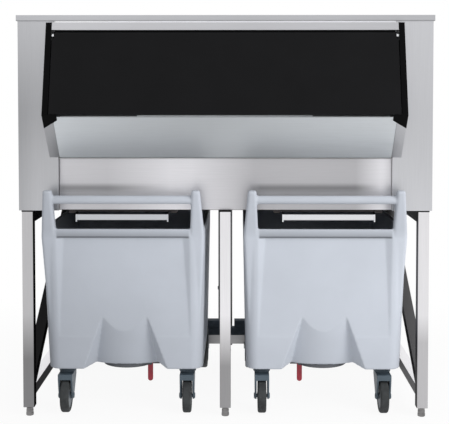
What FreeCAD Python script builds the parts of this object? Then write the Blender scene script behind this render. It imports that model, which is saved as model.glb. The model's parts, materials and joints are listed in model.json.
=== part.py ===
"""Ice storage bin on a tube stand, with two wheeled ice carts docked under it.

Millimetres, +X to the right, +Y to the back, +Z up. The floor is at z = 0. Pieces are drawn with
y = 0 on the cabinet's front plane, and are moved on saving so that the origin is at the middle of
the whole object's footprint.
"""
import FreeCAD, Part
import math
import os

from FreeCAD import Vector

os.makedirs("parts", exist_ok=True)

# Overall sizes
OVERALL_WIDTH = 1524.0
CABINET_DEPTH = 960.0
OVERALL_HEIGHT = 1480.0
BIN_BOTTOM = 766.0
HOOD_REACH = 150.0

# Sheet metal and insulation
SHEET = 1.5
LINER_WALL = 4.0
WALL_INSULATION = 46.0
TOP_FRAME_HEIGHT = 21.0
TOP_FRAME_OVERHANG = 5.0
TOP_FRAME_LEDGE = 62.0
POST_WIDTH = 146.0
POST_RETURN = 26.0
PANEL_RECESS = 20.0
REAR_FLANGE = 30.0
SEAM = 1.0

# Hood and access door
HOOD_INSET = 114.0
HOOD_TOP_DROP = 30.0
LOWER_PANEL_SHARE = 0.2675
SILL_SHARE = 0.3306
DOOR_TOP_DROP = 30.0
DOOR_TOP_REACH = 62.0
DOOR_THICKNESS = 28.0
DOOR_GAP = 3.0
DOOR_LINER_THICKNESS = 12.0
DOOR_LINER_MARGIN = 34.0
DOOR_PULL_DEPTH = 12.0
DOOR_PULL_HEIGHT = 26.0
END_CAP_WIDTH = 21.0
END_CAP_DEPTH = 30.0
CAP_FOOT_WIDTH = 51.0
CAP_FOOT_INNER_LENGTH = 27.0
CAP_FOOT_OUTER_LENGTH = 66.0
CAP_FOOT_THICKNESS = 3.0
SILL_STRIP_WIDTH = 36.0
SILL_TOP = 13.0
SILL_LIP = 24.0
HINGE_PIN_RADIUS = 5.0
HINGE_PIN_LENGTH = 40.0
HINGE_COLLAR_RADIUS = 8.0
HINGE_COLLAR = 9.0
HINGE_NOTCH = 30.0

# Hoppers, outlets and gates
SPOUT_HEIGHT = 24.0
OUTLET_WIDTH = 330.0
OUTLET_DEPTH = 330.0
OUTLET_FRONT = 95.0
GATE_CENTRE = OVERALL_WIDTH / 4
GATE_PLATE = 3.0
GATE_PLATE_MARGIN = 22.0
GATE_PLATE_DROP = 9.0
RUNNER_HEIGHT = 15.0
RUNNER_WIDTH = 22.0
RUNNER_LIP = 8.0
RUNNER_CLEARANCE = 0.3
HANDLE_BAR_HEIGHT = 24.0
HANDLE_BAR = 8.0
HANDLE_BAR_ROUNDING = 2.5
HANDLE_OVERHANG = 6.0
HANDLE_DROP = 19.0
HANDLE_SETBACK = 28.0
HANDLE_ARM = 5.0
HANDLE_ARM_MARGIN = 4.0
HANDLE_ARM_LENGTH = 70.0

# Stand
TUBE = 40.0
TUBE_WALL = 2.0
LEG_INSET = 10.0
LEG_SETBACK = 2.0
LEG_END_PLATE = 3.0
PAD_HEIGHT = 5.0
PAD_MARGIN = 1.0
FOOT_HEIGHT = 34.0
FOOT_RADIUS = 14.0
FOOT_STEM_RADIUS = 8.0
FOOT_STEM_LENGTH = 34.0
LOW_RAIL_BOTTOM = 76.0
STOP_HEIGHT = 65.0
STOP_OVERHANG = 4.0
STOP_NOTCH_WIDTH = 60.0
STOP_NOTCH_DEPTH = 34.0
STOP_GROOVE = 3.0
STOP_END_GAP = 17.0

# Bin drain
DRAIN_RADIUS = 11.0
DRAIN_WALL = 3.0
DRAIN_BOTTOM = 120.0
DRAIN_FLANGE_RADIUS = 20.0
DRAIN_FLANGE_HEIGHT = 10.0
DRAIN_CLIP_HEIGHT = 298.0
DRAIN_CLIP_WIDTH = 14.0
DRAIN_FORWARD = 45.0

# Screws of the back panel
SCREW_RADIUS = 5.0
SCREW_HEAD = 2.2
SCREWS_ACROSS = 6
SCREW_EDGE = 28.0

# Carts
CART_RIM_DROP = 61.0
CART_RIM_HEIGHT = 29.0
CART_BAY_ROOM = 67.5
LEFT_CART_SHIFT = -7.0
CART_SHOULDER_DROP = 65.0
CART_SIDE_TAPER = 9.0
CART_BOTTOM = 172.0
CART_FRONT_TOP = -58.0
CART_FRONT_BOTTOM = 22.0
CART_REAR_ROOM = 217.0
CART_REAR_TAPER = 93.0
CART_CORNER = 45.0
CART_WALL = 16.0
CART_FLOOR = 212.0
CART_CAVITY_FRONT = 92.0
CART_CAVITY_TAPER = 60.0
CART_INSET_DEPTH = 12.0
CART_INSET_COVE = 26.0
CART_INSET_BOTTOM = 300.0
CART_POST_RISE = 82.0
CART_POST_ROOT = 300.0
CART_POST_SINK = 11.0
CART_POST_WIDTH = 30.0
CART_POST_REACH = 25.0
CART_POST_TUCK = 15.0
CART_POST_FOOT_WIDTH = 53.0
CART_POST_DEPTH = 40.0
CART_POST_CORNER = 10.0
POST_ROUNDING = 0.6
CART_BAR_DIAMETER = 30.0
CART_BAR_DROP = 34.0
CART_BELLY_BOTTOM = 182.0

# Hollow at the cart's lower front: two flared side walls, and a leaning drum between them
HOLLOW_TOP = 386.0
HOLLOW_TOP_HALF_WIDTH = 80.0
HOLLOW_FRONT_HALF_WIDTH = 155.0
HOLLOW_BACK_HALF_WIDTH = 114.0
HOLLOW_DEPTH = 78.0
DRUM_RADIUS = 231.0
DRUM_FRONT_HEIGHT = 325.0

# Castors and rear wheels
CASTOR_INSET = 60.0
CASTOR_PIVOT = 100.0
CASTOR_TRAIL = 38.0
CASTOR_RADIUS = 62.5
CASTOR_TYRE_WIDTH = 32.0
CASTOR_HUB_RADIUS = 46.0
CASTOR_HUB_WIDTH = 36.0
CASTOR_PLATE_WIDTH = 92.0
CASTOR_PLATE_DEPTH = 84.0
CASTOR_PLATE = 4.0
CASTOR_HEAD_RADIUS = 32.0
CASTOR_HEAD_HEIGHT = 20.0
CASTOR_LEG = 7.0
CASTOR_SIDE_GAP = 2.0
AXLE_BOLT_RADIUS = 6.0
AXLE_BOLT_HEAD_RADIUS = 10.0
AXLE_BOLT_HEAD = 3.0
KINGPIN_RADIUS = 8.0
REAR_WHEEL_RADIUS = 95.0
REAR_WHEEL_WIDTH = 40.0
REAR_HUB_RADIUS = 68.0
REAR_HUB_WIDTH = 44.0
REAR_WHEEL_INSET = 9.0
REAR_AXLE_ROOM = 280.0
REAR_AXLE_RADIUS = 10.0
REAR_AXLE_HEAD_RADIUS = 15.0
REAR_AXLE_HEAD = 4.0
AXLE_BRACKET_WIDTH = 20.0
AXLE_BRACKET_FRONT = 75.0
AXLE_BRACKET_BACK = 25.0
WHEEL_ROOM = 12.0
RUNNING_FIT = 0.06
SIDE_FIT = 0.3

# Cart drain: a round sump under the belly, and a valve beside it
SUMP_RADIUS = 96.0
SUMP_HEIGHT = 12.0
SUMP_SETBACK = 146.0
VALVE_OFFSET = 80.0
VALVE_SETBACK = 190.0
VALVE_HEIGHT = 158.0
VALVE_RADIUS = 10.0
VALVE_LENGTH = 70.0
VALVE_NECK_RADIUS = 8.0
VALVE_STEM_RADIUS = 6.0
VALVE_STEM_LENGTH = 18.0
VALVE_NUT_RADIUS = 8.0
VALVE_NUT = 4.0
LEVER_WIDTH = 20.0
LEVER_THICKNESS = 7.0
LEVER_LENGTH = 71.0

# Places worked out from the sizes above
FACE_Y = (HOOD_REACH - CABINET_DEPTH) / 2
CABINET_HALF = OVERALL_WIDTH / 2 - TOP_FRAME_OVERHANG
CABINET_TOP = OVERALL_HEIGHT - TOP_FRAME_HEIGHT
HOOD_HALF_WIDTH = CABINET_HALF - HOOD_INSET
HOOD_TOP = OVERALL_HEIGHT - HOOD_TOP_DROP
HOOD_BOTTOM = BIN_BOTTOM + LOWER_PANEL_SHARE * (OVERALL_HEIGHT - BIN_BOTTOM)
DOOR_TOP = HOOD_TOP - DOOR_TOP_DROP
DOOR_BOTTOM = HOOD_BOTTOM + SILL_SHARE * (HOOD_TOP - HOOD_BOTTOM)
HOPPER_TOP = HOOD_BOTTOM + LINER_WALL
HOPPER_FLOOR = BIN_BOTTOM + SPOUT_HEIGHT
HOPPER_RIDGE = 2 * LINER_WALL
SKIN_BACK = CABINET_DEPTH - SCREW_HEAD
POST_INNER = CABINET_HALF - POST_WIDTH
LINER_HALF = CABINET_HALF - SHEET - WALL_INSULATION
LINER_FRONT = POST_RETURN + WALL_INSULATION / 2
LINER_BACK = SKIN_BACK - SHEET - WALL_INSULATION
DOOR_LEAN = (HOOD_REACH - DOOR_TOP_REACH) / (DOOR_TOP - DOOR_BOTTOM)
DOOR_ANGLE = math.atan(DOOR_LEAN)
DOOR_HALF_WIDTH = HOOD_HALF_WIDTH - END_CAP_WIDTH - DOOR_GAP
SILL_RUN = HOOD_REACH / (DOOR_BOTTOM - HOOD_BOTTOM)
SILL_ANGLE = math.atan(SILL_RUN)
SILL_LENGTH = math.hypot(HOOD_REACH, DOOR_BOTTOM - HOOD_BOTTOM)
PIVOT_DROP = DOOR_THICKNESS / 2
GATE_TOP = BIN_BOTTOM - GATE_PLATE_DROP + GATE_PLATE
HANDLE_HEIGHT = GATE_TOP - GATE_PLATE - HANDLE_DROP
HANDLE_LENGTH = OUTLET_WIDTH + 2 * HANDLE_OVERHANG
GATE_HALF_WIDTH = OUTLET_WIDTH / 2 + GATE_PLATE_MARGIN
GATE_FRONT = OUTLET_FRONT - 2 * GATE_PLATE_MARGIN
GATE_BACK = OUTLET_FRONT + OUTLET_DEPTH + 2 * GATE_PLATE_MARGIN
LEG_TOP = BIN_BOTTOM - PAD_HEIGHT
LEG_X = CABINET_HALF - LEG_INSET - TUBE / 2
FRONT_LEG_Y = LEG_SETBACK + TUBE / 2
REAR_LEG_Y = CABINET_DEPTH - LEG_SETBACK - TUBE / 2
DRAIN_SETBACK = REAR_LEG_Y - DRAIN_FORWARD
REAR_AXLE_SETBACK = CABINET_DEPTH - REAR_AXLE_ROOM
STOP_LOW = LOW_RAIL_BOTTOM + TUBE
WHEEL_REACH_AT_STOP = math.sqrt(REAR_WHEEL_RADIUS ** 2 - (STOP_LOW - REAR_WHEEL_RADIUS) ** 2)
STOP_FRONT = REAR_AXLE_SETBACK + WHEEL_REACH_AT_STOP + SIDE_FIT
STOP_RAIL_FRONT = STOP_FRONT + STOP_OVERHANG
CART_CENTRE = LEG_X / 2
CART_RIM_TOP = BIN_BOTTOM - CART_RIM_DROP
CART_RIM_LOW = CART_RIM_TOP - CART_RIM_HEIGHT
CART_SHOULDER = CART_RIM_TOP - CART_SHOULDER_DROP
CART_POST_TOP = BIN_BOTTOM + CART_POST_RISE
CART_BAR_HEIGHT = CART_POST_TOP - CART_BAR_DROP
CART_TOP_HALF_WIDTH = CART_CENTRE - CART_BAY_ROOM
CART_BOTTOM_HALF_WIDTH = CART_TOP_HALF_WIDTH - CART_SIDE_TAPER
CART_FIELD_HALF_WIDTH = CART_TOP_HALF_WIDTH - CART_POST_FOOT_WIDTH
CART_REAR_TOP = CABINET_DEPTH - CART_REAR_ROOM
CART_REAR_BOTTOM = CART_REAR_TOP - CART_REAR_TAPER
CART_CAVITY_REAR = CART_REAR_BOTTOM - CART_CAVITY_TAPER
CART_LEAN = (CART_FRONT_BOTTOM - CART_FRONT_TOP) / (CART_RIM_TOP - CART_BOTTOM)
DRUM_SIDE_SETBACK = DRUM_RADIUS - math.sqrt(DRUM_RADIUS ** 2 - HOLLOW_TOP_HALF_WIDTH ** 2)
DRUM_LEAN = CART_LEAN + DRUM_SIDE_SETBACK / (HOLLOW_TOP - DRUM_FRONT_HEIGHT)
CASTOR_HALF_SPACING = CART_BOTTOM_HALF_WIDTH - CASTOR_INSET
REAR_WHEEL_OUTER = CART_TOP_HALF_WIDTH - REAR_WHEEL_INSET


def save(name, *solids):
    """Write the pieces of one node to its file, in the object's own frame."""
    shape = solids[0] if len(solids) == 1 else Part.makeCompound(list(solids))
    shape = shape.copy()
    shape.translate(Vector(0, FACE_Y, 0))
    shape.exportStep("parts/" + name + ".step")


def block(x0, x1, y0, y1, z0, z1):
    """Box between two corners, given in any order along x."""
    low, high = min(x0, x1), max(x0, x1)
    return Part.makeBox(high - low, y1 - y0, z1 - z0, Vector(low, y0, z0))


def rod(radius, start, end):
    """Round bar between two points."""
    return Part.makeCylinder(radius, (end - start).Length, start, end - start)


def prism_x(points, x0, x1):
    """Solid with an outline in (y, z), between two x places."""
    low, high = min(x0, x1), max(x0, x1)
    corners = [Vector(low, y, z) for y, z in points]
    return Part.Face(Part.makePolygon(corners + corners[:1])).extrude(Vector(high - low, 0, 0))


def prism_y(points, y0, y1):
    """Solid with an outline in (x, z), between two y places."""
    corners = [Vector(x, y0, z) for x, z in points]
    return Part.Face(Part.makePolygon(corners + corners[:1])).extrude(Vector(0, y1 - y0, 0))


def rounded_outline(x0, x1, y0, y1, z, radius):
    """Closed wire of a rectangle with round corners, level at height z."""
    lines = []
    centres = [(x1 - radius, y0 + radius, -90), (x1 - radius, y1 - radius, 0),
               (x0 + radius, y1 - radius, 90), (x0 + radius, y0 + radius, 180)]
    arcs = []
    for cx, cy, start in centres:
        turn = [math.radians(start + step) for step in (0, 45, 90)]
        arcs.append([Vector(cx + radius * math.cos(a), cy + radius * math.sin(a), z) for a in turn])
    for arc, following in zip(arcs, arcs[1:] + arcs[:1]):
        lines.append(Part.Arc(*arc).toShape())
        lines.append(Part.LineSegment(arc[2], following[0]).toShape())
    return Part.Wire(lines)


def mirrored(shape):
    """The same piece on the other side of the middle plane."""
    return shape.mirror(Vector(0, 0, 0), Vector(1, 0, 0))


def moved(shape, x):
    """Copy of a piece shifted along x."""
    copy = shape.copy()
    copy.translate(Vector(x, 0, 0))
    return copy


def door_face(z):
    """Place of the door's outer face in y at a height."""
    return -DOOR_TOP_REACH - DOOR_LEAN * (DOOR_TOP - z)


def sill_point(x, along, out):
    """Point on the sloped sill: distance down the slope, and height above its outer face."""
    y = -HOOD_REACH + along * math.sin(SILL_ANGLE) - out * math.cos(SILL_ANGLE)
    z = DOOR_BOTTOM - along * math.cos(SILL_ANGLE) - out * math.sin(SILL_ANGLE)
    return Vector(x, y, z)


def sill_plate(outline, out0, out1):
    """Flat plate on the sill's slope with an outline in (x, along)."""
    corners = [sill_point(x, along, out0) for x, along in outline]
    face = Part.Face(Part.makePolygon(corners + corners[:1]))
    return face.extrude(sill_point(0, 0, out1) - sill_point(0, 0, out0))


# Cabinet skins

def side_panel():
    """Right side sheet, folded to the wide front post and to a narrow rear flange."""
    side = block(CABINET_HALF - SHEET, CABINET_HALF, 0, SKIN_BACK, BIN_BOTTOM, CABINET_TOP)
    post = block(POST_INNER, CABINET_HALF, 0, SHEET, BIN_BOTTOM, CABINET_TOP)
    post_return = block(POST_INNER, POST_INNER + SHEET, 0, POST_RETURN, BIN_BOTTOM, CABINET_TOP)
    flange = block(CABINET_HALF - REAR_FLANGE, CABINET_HALF, SKIN_BACK - SHEET, SKIN_BACK,
                   BIN_BOTTOM, CABINET_TOP)
    return side.fuse([post, post_return, flange]).removeSplitter()


def back_panel():
    """Back sheet behind the insulation, inside the two rear flanges."""
    half = CABINET_HALF - SHEET
    return block(-half, half, SKIN_BACK - 2 * SHEET, SKIN_BACK - SHEET,
                 BIN_BOTTOM + SHEET, CABINET_TOP)


def back_screws():
    """Pan heads along both rear flanges."""
    screws = []
    pitch = (CABINET_TOP - BIN_BOTTOM - 2 * SCREW_EDGE) / (SCREWS_ACROSS - 1)
    for side in (-1, 1):
        for row in range(SCREWS_ACROSS):
            x = side * (CABINET_HALF - REAR_FLANGE / 2)
            z = BIN_BOTTOM + SCREW_EDGE + row * pitch
            start = Vector(x, SKIN_BACK, z)
            screws.append(rod(SCREW_RADIUS, start, start + Vector(0, SCREW_HEAD, 0)))
    return screws


def lower_front_panel():
    """Recessed front sheet between the posts, with a ledge under the sill."""
    half = POST_INNER - SEAM
    sheet = block(-half, half, PANEL_RECESS, PANEL_RECESS + SHEET, BIN_BOTTOM + SHEET, HOOD_BOTTOM)
    ledge = block(-half, half, SHEET + SEAM, PANEL_RECESS + SHEET, HOOD_BOTTOM - SHEET, HOOD_BOTTOM)
    return sheet.fuse(ledge).removeSplitter()


def outlet_box(centre, grow, z0, z1):
    """Space of one outlet, grown on all four sides."""
    return block(centre - OUTLET_WIDTH / 2 - grow, centre + OUTLET_WIDTH / 2 + grow,
                 OUTLET_FRONT - grow, OUTLET_FRONT + OUTLET_DEPTH + grow, z0, z1)


def bottom_pan():
    """Bottom sheet with the two outlets, open for the liner's spouts."""
    half = CABINET_HALF - SHEET
    pan = block(-half, half, PANEL_RECESS, SKIN_BACK - SHEET, BIN_BOTTOM, BIN_BOTTOM + SHEET)
    post_room = [block(side * (POST_INNER - SEAM), side * CABINET_HALF, 0, POST_RETURN,
                       BIN_BOTTOM, BIN_BOTTOM + SHEET) for side in (-1, 1)]
    outlets = [outlet_box(side * GATE_CENTRE, LINER_WALL, BIN_BOTTOM, BIN_BOTTOM + SHEET)
               for side in (-1, 1)]
    drain = rod(DRAIN_RADIUS - DRAIN_WALL, Vector(drain_x(), DRAIN_SETBACK, BIN_BOTTOM),
                Vector(drain_x(), DRAIN_SETBACK, BIN_BOTTOM + SHEET))
    return pan.cut(post_room + outlets + [drain])


# Insulation and liner

def lined_space():
    """Room that liner and hoppers take up: a box over two funnels that narrow to the outlets."""
    wall = LINER_WALL
    spaces = [block(-LINER_HALF - wall, LINER_HALF + wall, LINER_FRONT - wall, LINER_BACK + wall,
                    HOPPER_TOP, CABINET_TOP)]
    for side in (-1, 1):
        near, far = side * HOPPER_RIDGE / 2, side * LINER_HALF
        centre = side * GATE_CENTRE
        top = rectangle(min(near, far), max(near, far), LINER_FRONT, LINER_BACK, HOPPER_TOP, wall)
        low = rectangle(centre - OUTLET_WIDTH / 2, centre + OUTLET_WIDTH / 2, OUTLET_FRONT,
                        OUTLET_FRONT + OUTLET_DEPTH, HOPPER_FLOOR, wall)
        rings = [Part.makePolygon(ring + ring[:1]) for ring in (low, top)]
        spaces.append(Part.makeLoft(rings, True, True))
        spaces.append(outlet_box(centre, wall, BIN_BOTTOM, HOPPER_FLOOR))
    return spaces


def front_opening(margin):
    """Way in from the hood, through liner and insulation."""
    half = POST_INNER - SEAM - margin
    return block(-half, half, SHEET, LINER_FRONT + LINER_WALL, HOOD_BOTTOM + margin,
                 HOOD_TOP - margin)


def rectangle(x0, x1, y0, y1, z, grow):
    """Corners of a level rectangle, grown on all four sides."""
    return [Vector(x0 - grow, y0 - grow, z), Vector(x1 + grow, y0 - grow, z),
            Vector(x1 + grow, y1 + grow, z), Vector(x0 - grow, y1 + grow, z)]


def ring_walls(low_span, low_z, high_span, high_z):
    """Four flat plates, front first, round the space between two level rectangles."""
    low_in, high_in = rectangle(*low_span, low_z, 0), rectangle(*high_span, high_z, 0)
    low_out = rectangle(*low_span, low_z, LINER_WALL)
    high_out = rectangle(*high_span, high_z, LINER_WALL)
    walls = []
    for this, following in ((0, 1), (1, 2), (2, 3), (3, 0)):
        rings = [[inner[this], inner[following], outer[following], outer[this]]
                 for inner, outer in ((low_in, low_out), (high_in, high_out))]
        walls.append(Part.makeLoft([Part.makePolygon(ring + ring[:1]) for ring in rings], True, True))
    return walls


def mouth_collar():
    """Short moulded frame round the way in from the hood."""
    half = POST_INNER - SEAM
    inner = half - LINER_WALL
    front, back = POST_RETURN, LINER_FRONT - LINER_WALL
    return [block(-half, -inner, front, back, HOOD_BOTTOM, HOOD_TOP),
            block(inner, half, front, back, HOOD_BOTTOM, HOOD_TOP),
            block(-inner, inner, front, back, HOOD_BOTTOM, HOOD_BOTTOM + LINER_WALL),
            block(-inner, inner, front, back, HOOD_TOP - LINER_WALL, HOOD_TOP)]


def bin_liner():
    """Moulded inner walls of the bin above the hoppers, with the way in from the hood."""
    span = (-LINER_HALF, LINER_HALF, LINER_FRONT, LINER_BACK)
    front, *others = ring_walls(span, HOPPER_TOP, span, CABINET_TOP)
    return [front.cut(front_opening(LINER_WALL))] + others + mouth_collar()


def hopper(side):
    """Moulded funnel to one outlet: four sloping plates over the four plates of its spout."""
    near, far = side * HOPPER_RIDGE / 2, side * LINER_HALF
    centre = side * GATE_CENTRE
    mouth = (min(near, far), max(near, far), LINER_FRONT, LINER_BACK)
    outlet = (centre - OUTLET_WIDTH / 2, centre + OUTLET_WIDTH / 2,
              OUTLET_FRONT, OUTLET_FRONT + OUTLET_DEPTH)
    return ring_walls(outlet, BIN_BOTTOM, outlet, HOPPER_FLOOR) \
        + ring_walls(outlet, HOPPER_FLOOR, mouth, HOPPER_TOP)


def insulation_foam():
    """Foam between the outer skins and the liner."""
    half = CABINET_HALF - SHEET
    foam = block(-half, half, POST_RETURN, SKIN_BACK - 2 * SHEET, BIN_BOTTOM + SHEET, CABINET_TOP)
    return foam.cut(lined_space() + [front_opening(0)])


def top_frame():
    """Hollow steel rim round the open top, which carries the ice machine."""
    half = OVERALL_WIDTH / 2
    front = -TOP_FRAME_OVERHANG
    rim = block(-half, half, front, CABINET_DEPTH, CABINET_TOP, OVERALL_HEIGHT)
    opening = block(-half + TOP_FRAME_LEDGE, half - TOP_FRAME_LEDGE, front + TOP_FRAME_LEDGE,
                    CABINET_DEPTH - TOP_FRAME_LEDGE, CABINET_TOP, OVERALL_HEIGHT)
    hollow = block(-half + SHEET, half - SHEET, front + SHEET, CABINET_DEPTH - SHEET,
                   CABINET_TOP + SHEET, OVERALL_HEIGHT - SHEET)
    inner_wall = block(-half + TOP_FRAME_LEDGE - SHEET, half - TOP_FRAME_LEDGE + SHEET,
                       front + TOP_FRAME_LEDGE - SHEET, CABINET_DEPTH - TOP_FRAME_LEDGE + SHEET,
                       CABINET_TOP, OVERALL_HEIGHT)
    return rim.cut(opening).cut(hollow.cut(inner_wall))


# Hood

def hood_cheek():
    """Right cheek of the hood: a side plate behind the end cap, with a strip along the sill."""
    inside = HOOD_HALF_WIDTH - SHEET
    heel = sill_point(0, SILL_LENGTH, -CAP_FOOT_THICKNESS)
    cap_back = door_face(DOOR_BOTTOM) + END_CAP_DEPTH
    step = sill_point(0, (cap_back + HOOD_REACH) / math.sin(SILL_ANGLE), -CAP_FOOT_THICKNESS)
    outline = [(0, HOOD_TOP), (door_face(HOOD_TOP) + END_CAP_DEPTH, HOOD_TOP),
               (cap_back, DOOR_BOTTOM), (step.y, step.z), (0, heel.z + heel.y / SILL_RUN)]
    plate = prism_x(outline, inside, HOOD_HALF_WIDTH)
    strip_inner = HOOD_HALF_WIDTH - SILL_STRIP_WIDTH
    strip = sill_plate([(strip_inner, SILL_TOP), (HOOD_HALF_WIDTH, SILL_TOP),
                        (HOOD_HALF_WIDTH, SILL_LENGTH - SHEET), (strip_inner, SILL_LENGTH - SHEET)],
                       -CAP_FOOT_THICKNESS - SHEET, -CAP_FOOT_THICKNESS)
    behind = block(0, HOOD_HALF_WIDTH, 0, LINER_FRONT, HOOD_BOTTOM - LINER_FRONT, HOOD_TOP)
    return plate.fuse(strip).cut(behind).removeSplitter()


def hood_sill():
    """Sloped steel sill under the door, folded in at its top edge."""
    half = HOOD_HALF_WIDTH - SILL_STRIP_WIDTH - SEAM
    outline = [(-half, SILL_TOP), (half, SILL_TOP), (half, SILL_LENGTH), (-half, SILL_LENGTH)]
    slope = sill_plate(outline, -CAP_FOOT_THICKNESS - SHEET, -CAP_FOOT_THICKNESS)
    corner = sill_point(0, SILL_TOP, -CAP_FOOT_THICKNESS)
    lip = block(-half, half, corner.y + SHEET, corner.y + SILL_LIP, corner.z - SHEET, corner.z)
    behind = block(-half, half, 0, LINER_FRONT, HOOD_BOTTOM - LINER_FRONT, HOOD_TOP)
    return slope.fuse(lip).cut(behind).removeSplitter()


def hood_top_rail():
    """Steel cover over the hood: a strip above the door, a roof and a header on the cabinet."""
    half = HOOD_HALF_WIDTH - END_CAP_WIDTH - SEAM
    low = DOOR_TOP + DOOR_GAP
    outline = [(door_face(low), low), (door_face(HOOD_TOP), HOOD_TOP), (0, HOOD_TOP),
               (0, HOOD_TOP - SHEET), (door_face(HOOD_TOP) + SHEET, HOOD_TOP - SHEET),
               (door_face(low) + SHEET, low)]
    header = block(-half, half, -SHEET, 0, HOOD_TOP - SHEET, CABINET_TOP)
    return prism_x(outline, -half, half).fuse(header).removeSplitter()


def end_cap():
    """Right black end cap: an upright beside the door, and a pointed foot that laps the sill."""
    inner = HOOD_HALF_WIDTH - END_CAP_WIDTH
    outline = [(door_face(HOOD_TOP), HOOD_TOP), (door_face(DOOR_BOTTOM), DOOR_BOTTOM),
               (door_face(DOOR_BOTTOM) + END_CAP_DEPTH, DOOR_BOTTOM),
               (door_face(HOOD_TOP) + END_CAP_DEPTH, HOOD_TOP)]
    upright = prism_x(outline, inner, HOOD_HALF_WIDTH)
    foot_inner = HOOD_HALF_WIDTH - CAP_FOOT_WIDTH
    foot = sill_plate([(foot_inner, 0), (HOOD_HALF_WIDTH, 0),
                       (HOOD_HALF_WIDTH, CAP_FOOT_OUTER_LENGTH), (foot_inner, CAP_FOOT_INNER_LENGTH)],
                      -CAP_FOOT_THICKNESS, 0)
    pin_hole = rod(HINGE_PIN_RADIUS + RUNNING_FIT, hinge_point(0), hinge_point(HOOD_HALF_WIDTH))
    return upright.fuse(foot).cut(pin_hole).removeSplitter()


def hinge_point(x):
    """Point on the door's hinge line."""
    y = -DOOR_TOP_REACH + PIVOT_DROP * (math.cos(DOOR_ANGLE) - math.sin(DOOR_ANGLE))
    z = DOOR_TOP - PIVOT_DROP * (math.cos(DOOR_ANGLE) + math.sin(DOOR_ANGLE))
    return Vector(x, y, z)


def hinge_pin():
    """Right hinge pin: pressed into the end cap, with a collar, and running in the door."""
    outer = HOOD_HALF_WIDTH - SHEET
    cap_side = HOOD_HALF_WIDTH - END_CAP_WIDTH
    pin = rod(HINGE_PIN_RADIUS, hinge_point(outer - HINGE_PIN_LENGTH), hinge_point(outer))
    collar = rod(HINGE_COLLAR_RADIUS, hinge_point(cap_side - HINGE_COLLAR), hinge_point(cap_side))
    return pin.fuse(collar).removeSplitter()


# Access door

def door_point(x, down, out):
    """Point on the door: distance down its face from the hinge line, and out from its middle."""
    start = hinge_point(x)
    y = start.y - down * math.sin(DOOR_ANGLE) - out * math.cos(DOOR_ANGLE)
    z = start.z - down * math.cos(DOOR_ANGLE) + out * math.sin(DOOR_ANGLE)
    return Vector(x, y, z)


def door_slab(half, down0, down1, out0, out1):
    """Flat slab in the door's own directions."""
    corners = [door_point(-half, down, out)
               for down, out in ((down0, out0), (down1, out0), (down1, out1), (down0, out1))]
    face = Part.Face(Part.makePolygon(corners + corners[:1]))
    return face.extrude(Vector(2 * half, 0, 0))


def door_length():
    """Length of the door from the hinge line to its bottom edge."""
    return (DOOR_TOP - DOOR_BOTTOM) / math.cos(DOOR_ANGLE) - PIVOT_DROP - DOOR_GAP


def access_door():
    """Black door, round about its hinge at the top, with a finger pull behind its bottom edge."""
    radius = DOOR_THICKNESS / 2
    slab = door_slab(DOOR_HALF_WIDTH, 0, door_length(), -radius, radius)
    top = rod(radius, hinge_point(-DOOR_HALF_WIDTH), hinge_point(DOOR_HALF_WIDTH))
    pull = door_slab(DOOR_HALF_WIDTH / 2, door_length() - DOOR_PULL_HEIGHT, door_length(),
                     -radius, -radius + DOOR_PULL_DEPTH)
    notch_side = HOOD_HALF_WIDTH - END_CAP_WIDTH - HINGE_COLLAR - SIDE_FIT
    notch_span = (-DOOR_THICKNESS, HINGE_NOTCH / 2, -DOOR_THICKNESS, DOOR_THICKNESS)
    notch = door_slab(DOOR_HALF_WIDTH, *notch_span).cut(door_slab(notch_side, *notch_span))
    holes = [rod(HINGE_PIN_RADIUS + RUNNING_FIT, hinge_point(side * DOOR_HALF_WIDTH),
                 hinge_point(side * (DOOR_HALF_WIDTH - HINGE_PIN_LENGTH))) for side in (-1, 1)]
    return slab.fuse(top).removeSplitter().cut([pull, notch] + holes)


def door_liner():
    """Inner pan of the door, which fills the hood's mouth."""
    radius = DOOR_THICKNESS / 2
    return door_slab(DOOR_HALF_WIDTH - DOOR_LINER_MARGIN, DOOR_LINER_MARGIN,
                     door_length() - DOOR_LINER_MARGIN, -radius - DOOR_LINER_THICKNESS, -radius)


# Gates, drawn about the middle of an outlet

def gate_plate():
    """Sliding plate that closes an outlet."""
    return block(-GATE_HALF_WIDTH, GATE_HALF_WIDTH, GATE_FRONT, GATE_BACK,
                 GATE_TOP - GATE_PLATE, GATE_TOP)


def gate_handle():
    """Flat bright pull bar between two arms under the plate's front edge."""
    half = HANDLE_LENGTH / 2
    rise = HANDLE_BAR_HEIGHT / 2
    bar = block(-half, half, HANDLE_SETBACK - HANDLE_BAR / 2, HANDLE_SETBACK + HANDLE_BAR / 2,
                HANDLE_HEIGHT - rise, HANDLE_HEIGHT + rise)
    long_edges = [edge for edge in bar.Edges if edge.Length > half]
    bar = bar.makeFillet(HANDLE_BAR_ROUNDING, long_edges)
    under = GATE_TOP - GATE_PLATE
    arm_front = HANDLE_SETBACK - HANDLE_BAR / 2 - HANDLE_ARM_MARGIN
    arm_end = GATE_FRONT + HANDLE_ARM_LENGTH
    low = HANDLE_HEIGHT - rise - HANDLE_ARM_MARGIN
    outline = [(arm_front, low), (HANDLE_SETBACK + HANDLE_BAR, low), (arm_end, under - rise),
               (arm_end, under), (GATE_FRONT, under), (arm_front, HANDLE_HEIGHT + rise)]
    arms = [prism_x(outline, side * half, side * (half - HANDLE_ARM)) for side in (-1, 1)]
    return bar.fuse(arms).removeSplitter()


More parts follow.
